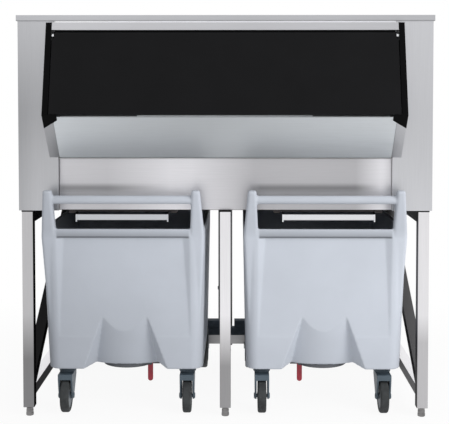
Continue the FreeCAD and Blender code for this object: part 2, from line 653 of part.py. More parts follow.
def gate_runner():
    """Right channel that a gate plate slides in, fixed under the bottom pan."""
    inner = GATE_HALF_WIDTH - RUNNER_LIP
    channel = block(inner, inner + RUNNER_WIDTH, GATE_FRONT, GATE_BACK,
                    BIN_BOTTOM - RUNNER_HEIGHT, BIN_BOTTOM)
    slot = block(inner, GATE_HALF_WIDTH + RUNNER_CLEARANCE, GATE_FRONT, GATE_BACK,
                 GATE_TOP - GATE_PLATE - RUNNER_CLEARANCE, GATE_TOP + RUNNER_CLEARANCE)
    return channel.cut(slot)


# Stand

def tube_block(x0, x1, y0, y1, z0, z1, along):
    """Square tube, open at both ends along one axis."""
    wall = {axis: (0 if axis == along else TUBE_WALL) for axis in "xyz"}
    bore = block(x0 + wall["x"], x1 - wall["x"], y0 + wall["y"], y1 - wall["y"],
                 z0 + wall["z"], z1 - wall["z"])
    return block(x0, x1, y0, y1, z0, z1).cut(bore)


def leg(x, y):
    """Upright tube with an end plate that the levelling foot screws into."""
    half = TUBE / 2
    tube = tube_block(x - half, x + half, y - half, y + half, FOOT_HEIGHT, LEG_TOP, "z")
    plate = block(x - half, x + half, y - half, y + half, FOOT_HEIGHT, FOOT_HEIGHT + LEG_END_PLATE)
    hole = rod(FOOT_STEM_RADIUS + RUNNING_FIT, Vector(x, y, FOOT_HEIGHT),
               Vector(x, y, FOOT_HEIGHT + LEG_END_PLATE))
    return tube.fuse(plate).removeSplitter().cut(hole)


def long_rail(x, bottom):
    """Tube from a front leg to a rear leg."""
    half = TUBE / 2
    return tube_block(x - half, x + half, FRONT_LEG_Y + half, REAR_LEG_Y - half,
                      bottom, bottom + TUBE, "y")


def brace(x):
    """Diagonal tube from above the low rail in front to below the top rail behind."""
    front, back = FRONT_LEG_Y + TUBE / 2, REAR_LEG_Y - TUBE / 2
    low, high = LOW_RAIL_BOTTOM + TUBE, LEG_TOP - TUBE
    slope = (high - low) / (back - front)
    for _ in range(8):
        upright = TUBE * math.hypot(1, slope)
        slope = (high - low - upright) / (back - front)
    wall = TUBE_WALL * math.hypot(1, slope)

    def bar(inset, side_wall):
        rise = slope * (back - front)
        outline = [(front, low + inset), (back, low + rise + inset),
                   (back, low + rise + upright - inset), (front, low + upright - inset)]
        return prism_x(outline, x - TUBE / 2 + side_wall, x + TUBE / 2 - side_wall)

    return bar(0, 0).cut(bar(wall, TUBE_WALL))


def side_frame(x):
    """Tubes of one side of the stand."""
    return [leg(x, FRONT_LEG_Y), leg(x, REAR_LEG_Y), long_rail(x, LOW_RAIL_BOTTOM),
            long_rail(x, LEG_TOP - TUBE), brace(x)]


def middle_frame():
    """Tubes between the two cart bays, which stay open below."""
    return [leg(0, FRONT_LEG_Y), leg(0, REAR_LEG_Y), long_rail(0, LEG_TOP - TUBE)]


def cross_rails():
    """Low rail behind the carts, and the rear top rail in two lengths."""
    half = TUBE / 2
    stop = tube_block(-LEG_X + half, LEG_X - half, STOP_RAIL_FRONT, STOP_RAIL_FRONT + TUBE,
                      LOW_RAIL_BOTTOM, LOW_RAIL_BOTTOM + TUBE, "x")
    rails = [stop]
    for start, end in ((-LEG_X + half, -half), (half, LEG_X - half)):
        rails.append(tube_block(start, end, REAR_LEG_Y - half, REAR_LEG_Y + half,
                                LEG_TOP - TUBE, LEG_TOP, "x"))
    return rails


def cart_stop():
    """Black bumper strip on the low cross rail, notched at the middle."""
    half = LEG_X - TUBE / 2 - STOP_END_GAP
    back = STOP_RAIL_FRONT + TUBE
    top = STOP_LOW + STOP_HEIGHT
    strip = block(-half, half, STOP_FRONT, back, STOP_LOW, top)
    notch = block(-STOP_NOTCH_WIDTH / 2, STOP_NOTCH_WIDTH / 2, STOP_FRONT, back,
                  top - STOP_NOTCH_DEPTH, top)
    middle = (STOP_LOW + top) / 2
    groove = block(-half, half, STOP_FRONT, STOP_FRONT + STOP_GROOVE,
                   middle - STOP_GROOVE, middle + STOP_GROOVE)
    return strip.cut([notch, groove])


def leg_places():
    """Centres of the six legs."""
    return [(x, y) for x in (-LEG_X, 0, LEG_X) for y in (FRONT_LEG_Y, REAR_LEG_Y)]


def leg_pads():
    """Black plates between the legs and the bin."""
    half = TUBE / 2 + PAD_MARGIN
    return [block(x - half, x + half, y - half, y + half, LEG_TOP, BIN_BOTTOM) for x, y in leg_places()]


def levelling_feet():
    """Round feet on screwed stems, one in each leg."""
    feet = []
    for x, y in leg_places():
        foot = rod(FOOT_RADIUS, Vector(x, y, 0), Vector(x, y, FOOT_HEIGHT))
        stem = rod(FOOT_STEM_RADIUS, Vector(x, y, 0), Vector(x, y, FOOT_HEIGHT + FOOT_STEM_LENGTH))
        feet.append(foot.fuse(stem).removeSplitter())
    return feet


def drain_x():
    """Place of the bin's drain, beside the rear middle leg."""
    return -TUBE / 2 - DRAIN_RADIUS - SEAM


def drain_pipe():
    """Drain from the bottom pan, clipped beside the rear middle leg."""
    def at(z):
        return Vector(drain_x(), DRAIN_SETBACK, z)

    pipe = rod(DRAIN_RADIUS, at(DRAIN_BOTTOM), at(BIN_BOTTOM))
    flange = rod(DRAIN_FLANGE_RADIUS, at(BIN_BOTTOM - DRAIN_FLANGE_HEIGHT), at(BIN_BOTTOM))
    room = block(-TUBE / 2, DRAIN_FLANGE_RADIUS, 0, CABINET_DEPTH, 0, BIN_BOTTOM)
    bore = rod(DRAIN_RADIUS - DRAIN_WALL, at(DRAIN_BOTTOM), at(BIN_BOTTOM))
    clip_top = DRAIN_CLIP_HEIGHT + DRAIN_CLIP_WIDTH
    clip = rod(DRAIN_RADIUS + DRAIN_WALL, at(DRAIN_CLIP_HEIGHT), at(clip_top))
    strap = block(drain_x(), -TUBE / 2, DRAIN_SETBACK, REAR_LEG_Y, DRAIN_CLIP_HEIGHT, clip_top)
    return pipe.fuse([flange.cut(room), clip.cut(room), strap]).cut(bore).removeSplitter()


# Carts, drawn about x = 0

def cart_front(z):
    """Place of the cart's front wall in y at a height."""
    return CART_FRONT_BOTTOM - CART_LEAN * (z - CART_BOTTOM)


def cart_hollow():
    """Room cut from the lower front: between two flared planes, in front of a leaning drum."""
    base_front, base_z = CART_FRONT_BOTTOM, CART_BOTTOM
    flare = (HOLLOW_BACK_HALF_WIDTH - HOLLOW_FRONT_HALF_WIDTH) / HOLLOW_DEPTH
    top_front = cart_front(HOLLOW_TOP)
    rise = (HOLLOW_TOP_HALF_WIDTH - HOLLOW_FRONT_HALF_WIDTH - flare * (top_front - base_front)) \
        / (HOLLOW_TOP - base_z)

    def half_width(y, z):
        return HOLLOW_FRONT_HALF_WIDTH + flare * (y - base_front) + rise * (z - base_z)

    low, high = base_z - CART_WALL, HOLLOW_TOP + CART_WALL
    y0 = CART_FRONT_TOP - 2 * CART_WALL
    y1 = base_front - (HOLLOW_FRONT_HALF_WIDTH + rise * (high - base_z)) / flare - SEAM
    rings = []
    for z in (low, high):
        front, back = half_width(y0, z), half_width(y1, z)
        ring = [Vector(-front, y0, z), Vector(front, y0, z), Vector(back, y1, z), Vector(-back, y1, z)]
        rings.append(Part.makePolygon(ring + ring[:1]))
    wedge = Part.makeLoft(rings, True, True)
    axis_y = cart_front(DRUM_FRONT_HEIGHT) + DRUM_RADIUS * math.hypot(1, DRUM_LEAN)
    reach = 2 * (HOLLOW_TOP - CART_BOTTOM)
    start = Vector(0, axis_y + DRUM_LEAN * reach, DRUM_FRONT_HEIGHT - reach)
    end = Vector(0, axis_y - DRUM_LEAN * reach, DRUM_FRONT_HEIGHT + reach)
    return wedge.cut(rod(DRUM_RADIUS, start, end))


def cart_rear(z):
    """Place of the cart's rear wall in y at a height."""
    share = (z - CART_BOTTOM) / (CART_RIM_TOP - CART_BOTTOM)
    return CART_REAR_BOTTOM + share * (CART_REAR_TOP - CART_REAR_BOTTOM)


def cart_half_width(z):
    """Half width of the tub at a height: leaning sides up to the shoulder, upright above it."""
    share = min(1.0, (z - CART_BOTTOM) / (CART_SHOULDER - CART_BOTTOM))
    return CART_BOTTOM_HALF_WIDTH + share * (CART_TOP_HALF_WIDTH - CART_BOTTOM_HALF_WIDTH)


def cart_shell():
    """Outer form of the tub without its handle."""
    sections = []
    for z in (CART_BOTTOM, CART_SHOULDER, CART_RIM_TOP):
        half = cart_half_width(z)
        sections.append(rounded_outline(-half, half, cart_front(z), cart_rear(z), z, CART_CORNER))
    return Part.makeLoft(sections, True, True)


def cart_cavity():
    """Inside of the tub."""
    low = rounded_outline(-CART_BOTTOM_HALF_WIDTH + 2 * CART_WALL, CART_BOTTOM_HALF_WIDTH - 2 * CART_WALL,
                          CART_CAVITY_FRONT, CART_CAVITY_REAR, CART_FLOOR, CART_CORNER)
    high = rounded_outline(-CART_TOP_HALF_WIDTH + CART_WALL, CART_TOP_HALF_WIDTH - CART_WALL,
                           CART_FRONT_TOP + CART_WALL, CART_REAR_TOP - CART_WALL, CART_RIM_TOP, CART_CORNER)
    return Part.makeLoft([low, high], True, True)


def post_share(z):
    """Share of the way up a handle post, from the underside of the rim to its top."""
    return max(0.0, (z - CART_RIM_LOW) / (CART_POST_TOP - CART_RIM_LOW))


def post_front(z):
    """Front of the handle posts in y at a height: they lean forward more than the tub does."""
    return cart_front(z) - CART_POST_REACH * post_share(z)


def post_outer(z):
    """Outer side of the handle posts at a height: they lean in a little towards each other."""
    return cart_half_width(z) - CART_POST_TUCK * post_share(z)


def cart_post():
    """Right upright of the push handle: it grows out of the tub's corner and tapers to a round top."""
    def section(z, width, sunk):
        outer = post_outer(z) - sunk
        front = post_front(z) + sunk
        return rounded_outline(outer - width, outer, front, front + CART_POST_DEPTH, z, CART_POST_CORNER)

    root = section(CART_POST_ROOT, CART_POST_FOOT_WIDTH, CART_POST_SINK)
    foot = section(CART_RIM_LOW, CART_POST_FOOT_WIDTH, 0)
    tip = section(CART_POST_TOP, CART_POST_WIDTH, 0)
    upper = Part.makeLoft([foot, tip], True, True)
    top_edges = [edge for edge in upper.Edges if edge.BoundBox.ZMin > CART_POST_TOP - SEAM]
    rounded = upper.makeFillet(CART_POST_CORNER * POST_ROUNDING, top_edges)
    return rounded.fuse(Part.makeLoft([root, foot], True, True))


def bar_centre(x):
    """Point on the middle line of the push bar."""
    return Vector(x, post_front(CART_BAR_HEIGHT) + CART_POST_DEPTH / 2, CART_BAR_HEIGHT)


def wheel_well(side):
    """Room for one rear wheel at the tub's lower rear corner."""
    inner = REAR_WHEEL_OUTER - REAR_HUB_WIDTH - WHEEL_ROOM
    return block(side * inner, side * (REAR_WHEEL_OUTER + WHEEL_ROOM),
                 REAR_AXLE_SETBACK - REAR_WHEEL_RADIUS - WHEEL_ROOM, CART_REAR_TOP,
                 CART_BOTTOM - WHEEL_ROOM, 2 * REAR_WHEEL_RADIUS + WHEEL_ROOM)


def cart_inset():
    """Field between the handle posts with sloping sides: deepest under the rim, it runs out lower down."""
    rings = []
    for z, depth in ((CART_INSET_BOTTOM, SEAM), (CART_RIM_LOW, CART_INSET_DEPTH)):
        cove = CART_INSET_COVE * depth / CART_INSET_DEPTH
        wide, narrow = CART_FIELD_HALF_WIDTH + CART_INSET_COVE, CART_FIELD_HALF_WIDTH - cove
        front, back = cart_front(z) - CART_INSET_DEPTH, cart_front(z) + depth
        ring = [Vector(-wide, front, z), Vector(wide, front, z),
                Vector(narrow, back, z), Vector(-narrow, back, z)]
        rings.append(Part.makePolygon(ring + ring[:1]))
    return Part.makeLoft(rings, True, True)


def cart_body():
    """Moulded tub with its handle posts, push bar, wheel wells and lower front hollow."""
    wide, narrow = HOLLOW_FRONT_HALF_WIDTH, HOLLOW_BACK_HALF_WIDTH
    below = CART_BOTTOM - CART_WALL
    raised = [(-wide, below), (wide, below), (wide, CART_BOTTOM), (narrow, CART_BELLY_BOTTOM),
              (-narrow, CART_BELLY_BOTTOM), (-wide, CART_BOTTOM)]
    underside = prism_y(raised, CART_FRONT_TOP, CART_REAR_TOP)
    post = cart_post()
    reach = post_outer(CART_BAR_HEIGHT) - CART_POST_WIDTH / 2
    bar = rod(CART_BAR_DIAMETER / 2, bar_centre(-reach), bar_centre(reach))
    outside = cart_shell().cut([cart_inset(), cart_hollow(), underside, wheel_well(-1), wheel_well(1)])
    with_handle = outside.fuse([post, mirrored(post), bar])
    return with_handle.cut(cart_cavity()).removeSplitter()


def rear_axle():
    """Axle rod carried by two brackets under the tub."""
    reach = REAR_WHEEL_OUTER + REAR_AXLE_HEAD + SIDE_FIT
    centre = Vector(0, REAR_AXLE_SETBACK, REAR_WHEEL_RADIUS)
    axle = rod(REAR_AXLE_RADIUS, centre - Vector(reach, 0, 0), centre + Vector(reach, 0, 0))
    pieces = []
    for side in (-1, 1):
        end = centre + Vector(side * reach, 0, 0)
        pieces.append(rod(REAR_AXLE_HEAD_RADIUS, end - Vector(side * REAR_AXLE_HEAD, 0, 0), end))
        outer = REAR_WHEEL_OUTER - REAR_HUB_WIDTH - WHEEL_ROOM - SIDE_FIT
        pieces.append(block(side * (outer - AXLE_BRACKET_WIDTH), side * outer,
                            REAR_AXLE_SETBACK - AXLE_BRACKET_FRONT, REAR_AXLE_SETBACK + AXLE_BRACKET_BACK,
                            REAR_WHEEL_RADIUS - 2 * REAR_AXLE_RADIUS, CART_BOTTOM))
        spacer_end = centre + Vector(side * (REAR_WHEEL_OUTER - REAR_HUB_WIDTH - SIDE_FIT), 0, 0)
        pieces.append(rod(REAR_AXLE_HEAD_RADIUS, centre + Vector(side * (outer - SEAM), 0, 0), spacer_end))
    return axle.fuse(pieces).removeSplitter()


def rear_wheel(side):
    """Large fixed wheel: tyre with round shoulders, and a dished hub."""
    outer = side * REAR_WHEEL_OUTER
    inner = side * (REAR_WHEEL_OUTER - REAR_HUB_WIDTH)
    middle = (outer + inner) / 2

    def ring(radius, bore, width):
        start = Vector(middle - width / 2, REAR_AXLE_SETBACK, REAR_WHEEL_RADIUS)
        end = start + Vector(width, 0, 0)
        return rod(radius, start, end), rod(bore, start, end)

    tyre, tyre_bore = ring(REAR_WHEEL_RADIUS, REAR_HUB_RADIUS + RUNNING_FIT / 2, REAR_WHEEL_WIDTH)
    rims = [edge for edge in tyre.Edges if edge.Length > REAR_WHEEL_RADIUS]
    tyre = tyre.makeFillet(REAR_WHEEL_WIDTH / 4, rims).cut(tyre_bore)
    hub, hub_bore = ring(REAR_HUB_RADIUS, REAR_AXLE_RADIUS + RUNNING_FIT, REAR_HUB_WIDTH)
    dish, boss = ring(REAR_HUB_RADIUS - 2 * TUBE_WALL, 2 * REAR_AXLE_RADIUS, REAR_HUB_WIDTH)
    web, _ = ring(REAR_HUB_RADIUS, REAR_AXLE_RADIUS, REAR_HUB_WIDTH / 3)
    return [tyre, hub.cut(dish.cut([boss, web])).cut(hub_bore)]


def castor_plate(side):
    """Mounting plate of one castor, under the tub's front corner, with its kingpin."""
    x = side * CASTOR_HALF_SPACING
    plate = block(x - CASTOR_PLATE_WIDTH / 2, x + CASTOR_PLATE_WIDTH / 2,
                  CASTOR_PIVOT - CASTOR_PLATE_DEPTH / 2, CASTOR_PIVOT + CASTOR_PLATE_DEPTH / 2,
                  CART_BOTTOM - CASTOR_PLATE, CART_BOTTOM)
    under = CART_BOTTOM - CASTOR_PLATE
    pin = rod(KINGPIN_RADIUS, Vector(x, CASTOR_PIVOT, under - CASTOR_HEAD_HEIGHT),
              Vector(x, CASTOR_PIVOT, under))
    corners = [edge for edge in plate.Edges if edge.BoundBox.ZMax - edge.BoundBox.ZMin > SEAM]
    return plate.makeFillet(KINGPIN_RADIUS, corners).fuse(pin)


def castor_axle_centre(side):
    """Middle of one castor wheel, trailing to the front."""
    return Vector(side * CASTOR_HALF_SPACING, CASTOR_PIVOT - CASTOR_TRAIL, CASTOR_RADIUS)


def castor_fork(side):
    """Swivel head, hooded crown and two legs of one castor, with the axle bolt."""
    x = side * CASTOR_HALF_SPACING
    top = CART_BOTTOM - CASTOR_PLATE - SIDE_FIT
    head_low = top - CASTOR_HEAD_HEIGHT
    head = rod(CASTOR_HEAD_RADIUS, Vector(x, CASTOR_PIVOT, head_low), Vector(x, CASTOR_PIVOT, top))
    inside = CASTOR_HUB_WIDTH / 2 + CASTOR_SIDE_GAP
    outside = inside + CASTOR_LEG
    axle = castor_axle_centre(side)
    crown_front = axle.y - CASTOR_HEAD_RADIUS
    crown_back = CASTOR_PIVOT + CASTOR_HEAD_RADIUS
    crown_low = axle.z + CASTOR_RADIUS + CASTOR_SIDE_GAP
    crown = block(x - outside, x + outside, crown_front, crown_back, crown_low, head_low)
    toe = AXLE_BOLT_HEAD_RADIUS + CASTOR_LEG / 2
    outline = [(crown_front, crown_low), (crown_back, crown_low), (axle.y + toe, axle.z - toe / 2),
               (axle.y, axle.z - toe), (axle.y - toe, axle.z - toe / 2)]
    legs = [prism_x(outline, x + turn * inside, x + turn * outside) for turn in (-1, 1)]
    fork = head.fuse([crown] + legs).removeSplitter()
    reach = Vector(outside + AXLE_BOLT_HEAD, 0, 0)
    hole = rod(AXLE_BOLT_RADIUS + RUNNING_FIT, axle - reach, axle + reach)
    pin_room = rod(KINGPIN_RADIUS + RUNNING_FIT, Vector(x, CASTOR_PIVOT, crown_low),
                   Vector(x, CASTOR_PIVOT, top))
    bolt = rod(AXLE_BOLT_RADIUS, axle - reach, axle + reach)
    heads = [rod(AXLE_BOLT_HEAD_RADIUS, axle + Vector(turn * outside, 0, 0),
                 axle + Vector(turn * (outside + AXLE_BOLT_HEAD), 0, 0)) for turn in (-1, 1)]
    return [fork.cut([hole, pin_room]), bolt.fuse(heads).removeSplitter()]


def castor_tyre(side):
    """Rubber tread of one castor wheel."""
    centre = castor_axle_centre(side)
    half = Vector(CASTOR_TYRE_WIDTH / 2, 0, 0)
    tyre = rod(CASTOR_RADIUS, centre - half, centre + half)
    rims = [edge for edge in tyre.Edges if edge.Length > CASTOR_RADIUS]
    bore = rod(CASTOR_HUB_RADIUS + RUNNING_FIT / 2, centre - half, centre + half)
    return tyre.makeFillet(CASTOR_TYRE_WIDTH / 4, rims).cut(bore)


def castor_hub(side):
    """Core of one castor wheel, turning on the axle bolt."""
    centre = castor_axle_centre(side)
    core_half = Vector(CASTOR_TYRE_WIDTH / 2 - TUBE_WALL, 0, 0)
    boss_half = Vector(CASTOR_HUB_WIDTH / 2, 0, 0)
    core = rod(CASTOR_HUB_RADIUS, centre - core_half, centre + core_half)
    boss = rod(2 * AXLE_BOLT_RADIUS, centre - boss_half, centre + boss_half)
    bore = rod(AXLE_BOLT_RADIUS + RUNNING_FIT, centre - boss_half, centre + boss_half)
    return core.fuse(boss).removeSplitter().cut(bore)


def valve_centre(turn):
    """Middle of the drain valve, on the side of the cart given by turn."""
    return Vector(turn * VALVE_OFFSET, VALVE_SETBACK, VALVE_HEIGHT)


def drain_valve(turn):
    """Round sump under the belly, and a ball valve with its neck, barrel, stem and nut."""
    centre = valve_centre(turn)
    sump_top = Vector(0, SUMP_SETBACK, CART_BELLY_BOTTOM)
    sump = rod(SUMP_RADIUS, sump_top - Vector(0, 0, SUMP_HEIGHT), sump_top)
    half = Vector(VALVE_LENGTH / 2, 0, 0)
    barrel = rod(VALVE_RADIUS, centre - half, centre + half)
    neck_x = turn * (VALVE_OFFSET - 0.4 * VALVE_LENGTH)
    neck = rod(VALVE_NECK_RADIUS, Vector(neck_x, VALVE_SETBACK, VALVE_HEIGHT),
               Vector(neck_x, VALVE_SETBACK, CART_BELLY_BOTTOM))
    stem_end = VALVE_RADIUS + VALVE_STEM_LENGTH
    tip = centre - Vector(0, stem_end, 0)
    stem = rod(VALVE_STEM_RADIUS, centre, tip)
    nut = rod(VALVE_NUT_RADIUS, tip + Vector(0, VALVE_NUT, 0), tip)
    return barrel.fuse([sump, neck, stem, nut]).removeSplitter()


def valve_lever(turn):
    """Red lever on the valve's stem, hanging down when the valve is shut."""
    centre = valve_centre(turn)
    back = centre.y - VALVE_RADIUS - VALVE_STEM_LENGTH + VALVE_NUT + SIDE_FIT + LEVER_THICKNESS
    front = back - LEVER_THICKNESS
    half = LEVER_WIDTH / 2
    bar = block(centre.x - half, centre.x + half, front, back, centre.z - LEVER_LENGTH + half, centre.z)
    ends = [rod(half, Vector(centre.x, front, z), Vector(centre.x, back, z))
            for z in (centre.z, centre.z - LEVER_LENGTH + half)]
    hole = rod(VALVE_STEM_RADIUS + RUNNING_FIT, Vector(centre.x, front, centre.z),
               Vector(centre.x, back, centre.z))
    return bar.fuse(ends).removeSplitter().cut(hole)


def save_bin():
    """Write the cabinet, hood, door and gates."""
    panel, cheek, cap, pin = side_panel(), hood_cheek(), end_cap(), hinge_pin()
    save("right_side_panel", panel)
    save("left_side_panel", mirrored(panel))
    save("back_panel", back_panel())
    save("back_screws", *back_screws())
    save("lower_front_panel", lower_front_panel())
    save("bottom_pan", bottom_pan())
    save("bin_liner", *bin_liner())
    save("left_hopper", *hopper(-1))
    save("right_hopper", *hopper(1))
    save("insulation_foam", insulation_foam())
    save("top_frame", top_frame())
    save("right_hood_cheek", cheek)
    save("left_hood_cheek", mirrored(cheek))
    save("hood_sill", hood_sill())
    save("hood_top_rail", hood_top_rail())
    save("right_end_cap", cap)
    save("left_end_cap", mirrored(cap))
    save("door_hinge_pins", mirrored(pin), pin)
    save("access_door", access_door())
    save("door_liner", door_liner())
    runners = []
    for name, side in (("left", -1), ("right", 1)):
        centre = side * GATE_CENTRE
        save(name + "_gate_plate", moved(gate_plate(), centre))
        save(name + "_gate_handle", moved(gate_handle(), centre))
        runners += [moved(mirrored(gate_runner()), centre), moved(gate_runner(), centre)]
    save("gate_runners", *runners)
    save("drain_pipe", drain_pipe())


def save_stand():
    """Write the stand's frames, rails, pads and feet."""
    save("left_frame", *side_frame(-LEG_X))
    save("middle_frame", *middle_frame())
    save("right_frame", *side_frame(LEG_X))
    save("cross_rails", *cross_rails())
    save("cart_stop", cart_stop())
    save("leg_pads", *leg_pads())
    save("levelling_feet", *levelling_feet())


def save_cart(name, centre, turn):
    """Write one cart; turn says on which side of it the drain valve sits."""
    prefix = name + "_cart_"
    save(prefix + "body", moved(cart_body(), centre))
    save(prefix + "drain_valve", moved(drain_valve(turn), centre))
    save(prefix + "valve_lever", moved(valve_lever(turn), centre))
    save(prefix + "rear_axle", moved(rear_axle(), centre))
    save(prefix + "castor_plates", *[moved(castor_plate(side), centre) for side in (-1, 1)])
    for side_name, side in (("left", -1), ("right", 1)):
        corner = prefix + side_name + "_"
        save(corner + "castor_fork", *[moved(piece, centre) for piece in castor_fork(side)])
        save(corner + "castor_tyre", moved(castor_tyre(side), centre))
        save(corner + "castor_hub", moved(castor_hub(side), centre))
        save(corner + "rear_wheel", *[moved(piece, centre) for piece in rear_wheel(side)])


save_bin()
save_stand()
save_cart("left", LEFT_CART_SHIFT - CART_CENTRE, 1)
save_cart("right", CART_CENTRE, -1)
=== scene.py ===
import json
import math

import bmesh
import bpy
import numpy as np
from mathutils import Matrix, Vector


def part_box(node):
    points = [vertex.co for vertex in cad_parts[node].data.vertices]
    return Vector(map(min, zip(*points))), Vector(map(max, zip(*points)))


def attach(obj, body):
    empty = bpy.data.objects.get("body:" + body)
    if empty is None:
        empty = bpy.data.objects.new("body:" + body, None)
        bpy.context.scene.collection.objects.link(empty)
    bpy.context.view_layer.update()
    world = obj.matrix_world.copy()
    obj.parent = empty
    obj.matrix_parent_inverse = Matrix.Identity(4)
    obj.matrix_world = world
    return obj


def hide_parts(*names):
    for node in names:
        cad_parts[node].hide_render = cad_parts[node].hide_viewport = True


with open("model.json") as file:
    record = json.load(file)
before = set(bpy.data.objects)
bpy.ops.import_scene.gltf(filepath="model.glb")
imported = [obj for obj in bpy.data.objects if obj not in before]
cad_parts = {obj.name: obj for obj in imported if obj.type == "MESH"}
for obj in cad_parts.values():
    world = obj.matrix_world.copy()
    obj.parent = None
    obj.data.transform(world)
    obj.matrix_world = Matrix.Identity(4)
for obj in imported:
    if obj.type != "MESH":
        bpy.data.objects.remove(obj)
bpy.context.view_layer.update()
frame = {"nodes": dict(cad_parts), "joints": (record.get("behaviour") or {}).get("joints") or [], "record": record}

nodes = frame["nodes"]

# Photograph's frame and camera, in pixels and metres
IMAGE_WIDTH = 449
IMAGE_HEIGHT = 424
FOCAL_PIXELS = 1005.8
SENSOR_WIDTH = 36.0
CAMERA_PLACE = (0.0484, -4.0756, 1.2091)
CAMERA_YAW = 0.0089
CAMERA_PITCH = 0.0400
IMAGE_CENTRE = (229.5, 129.9)

# Places in the frame that the looks follow, in metres
stand_low, stand_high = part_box("right_frame")
left_panel_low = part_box("left_side_panel")[0]
left_cart_low, left_cart_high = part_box("left_cart_body")
right_cart_low, right_cart_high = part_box("right_cart_body")
hinge_place = {joint["name"]: joint["pos_m"] for joint in frame["joints"] if joint["type"] == "hinge"}

FRONT_PLANE = left_panel_low.y
TUBE_HALF = (stand_high.x - stand_low.x) / 2
LEG_X = (stand_low.x + stand_high.x) / 2
LEG_BOTTOM = stand_low.z
FRONT_LEG_Y = stand_low.y + TUBE_HALF
REAR_LEG_Y = stand_high.y - TUBE_HALF
TOP_RAIL_BOTTOM = stand_high.z - 2 * TUBE_HALF
LOW_RAIL_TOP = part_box("cross_rails")[0].z + 2 * TUBE_HALF
HOOD_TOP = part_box("left_end_cap")[1].z
TOP_FRAME_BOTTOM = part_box("top_frame")[0].z
DOOR_HINGE_Y, DOOR_HINGE_Z = hinge_place["door_hinge"][1:]
REAR_AXLE_Y, REAR_AXLE_Z = hinge_place["left_cart_left_rear_spin"][1:]
LEFT_CART_X = (left_cart_low.x + left_cart_high.x) / 2
RIGHT_CART_X = (right_cart_low.x + right_cart_high.x) / 2
CARTS_MIDDLE = (LEFT_CART_X + RIGHT_CART_X) / 2
CART_FROM_MIDDLE = (RIGHT_CART_X - LEFT_CART_X) / 2
PUSH_BAR_TOP = left_cart_high.z

# Sizes of the carts' rims and hubs
REAR_HUB_RADIUS = 0.068
HUB_BLUR = 0.0004
RIM_BOTTOM = 0.676
RIM_TOP = 0.706
RIM_DEPTH = 0.060
POST_INNER_X = 0.243

# Turned feet
FOOT_RADIUS = 0.0140
FOOT_RIM_WIDTH = 0.0015
FOOT_RIM_BULGE = 0.0002
FOOT_RIM_TOP = 0.0030
FOOT_WAIST = 0.0132
FOOT_NECK = 0.0124
FOOT_ROUND = 0.0012
FOOT_SOLE_TOP = 0.0100
FOOT_WAIST_TOP = 0.0220
FOOT_BODY_TOP = 0.0300
STEM_RADIUS = 0.0080
STEM_RISE = 0.0335
THREAD_PITCH = 0.0020
THREAD_DEPTH = 0.0008
THREAD_TURNS = 17

# Seal on the door's top edge
SEAL_RADIUS = 0.004
SEAL_RISE = 0.0163
SEAL_HALF_LENGTH = 0.610
SEAL_STEPS = 24

# Voxel size and relaxing passes of each moulded piece, and the share of the carts' faces that stays
CART_SKIN = (0.0035, 2)
LEVER_SKIN = (0.0008, 4)
FORK_SKIN = (0.0012, 3)
CART_FACES_KEPT = 0.24

# Reach of a mask past a face, so that the face itself is on the right side of it
FACE_MARGIN = 0.0002
FACE_DEPTH = 0.0008
INNER_FACE_X = LEG_X - TUBE_HALF + FACE_DEPTH
OUTER_FACE_X = LEG_X + TUBE_HALF - FACE_DEPTH

# Painted shade and painted dark reflections on the stand, as shares of the plain colour, and the heights where
# painted shade on its legs fades out upwards
LEFT_INNER_FACE_TONE = 0.12
RIGHT_INNER_FACE_TONE = 0.36
LEFT_LEG_TONE = 0.62
RIGHT_LEG_TONE = 0.90
LEFT_BRACE_TONE = 0.02
RIGHT_BRACE_TONE = 0.13
REAR_TUBE_TONE = 0.30
LEFT_LOW_LEG_TONE = 0.45
RIGHT_LOW_LEG_TONE = 0.66
MIDDLE_LOW_LEG_DROP = 0.19
LEFT_RAIL_TONE = 0.17
RIGHT_RAIL_TONE = 0.30
LEG_LOW_SHADE_FULL_Z = 0.08
LEG_LOW_SHADE_END_Z = 0.38

# Painted shade on the lower front panel's sheet, two painted reflections as bright patches, and bands of painted
# shade above the push bars
LEFT_PANEL_TONE = 0.76
RIGHT_PANEL_TONE = 0.59
LEFT_REFLECTION_X = -0.164
LEFT_REFLECTION_CORE = 0.040
LEFT_REFLECTION_REACH = 0.270
RIGHT_REFLECTION_X = 0.575
RIGHT_REFLECTION_CORE = 0.005
RIGHT_REFLECTION_REACH = 0.095
PANEL_BAND_DEPTH = 0.42
PANEL_BAND_CORE = 0.003
PANEL_BAND_EDGE = 0.019
PANEL_BAND_HALF_WIDTH = 0.235
PANEL_BAND_END = 0.275

# Painted shade on the cabinet sides, deeper on the left, with a belt of painted dark reflection and painted shade
# on the left edge low down
LEFT_POST_TONE = 0.82
LEFT_POST_BELT = 0.22
RIGHT_POST_BELT = 0.06
POST_BELT_Z = 1.130
POST_BELT_CORE = 0.02
POST_BELT_EDGE = 0.34
LEFT_EDGE_DEPTH = 0.16
LEFT_EDGE_WIDTH = 0.067
LEFT_EDGE_LOW = 1.05
LEFT_EDGE_HIGH = 1.35

# Painted light and shade on the cover, a painted shadow line along the top frame's lower lip, and painted shade on
# the sill
COVER_TONE = 0.585
COVER_FADE = 0.002
LIP_SHADOW_TONE = 0.62
LIP_HEIGHT = 0.003
SILL_SHADE_X = -0.05
SILL_SHADE_TONE = 0.80
SILL_SHADE_REACH = 0.55
SILL_TOP_TONE = 0.89
SILL_MIDDLE_Z = 1.03
SILL_TOP_Z = 1.12

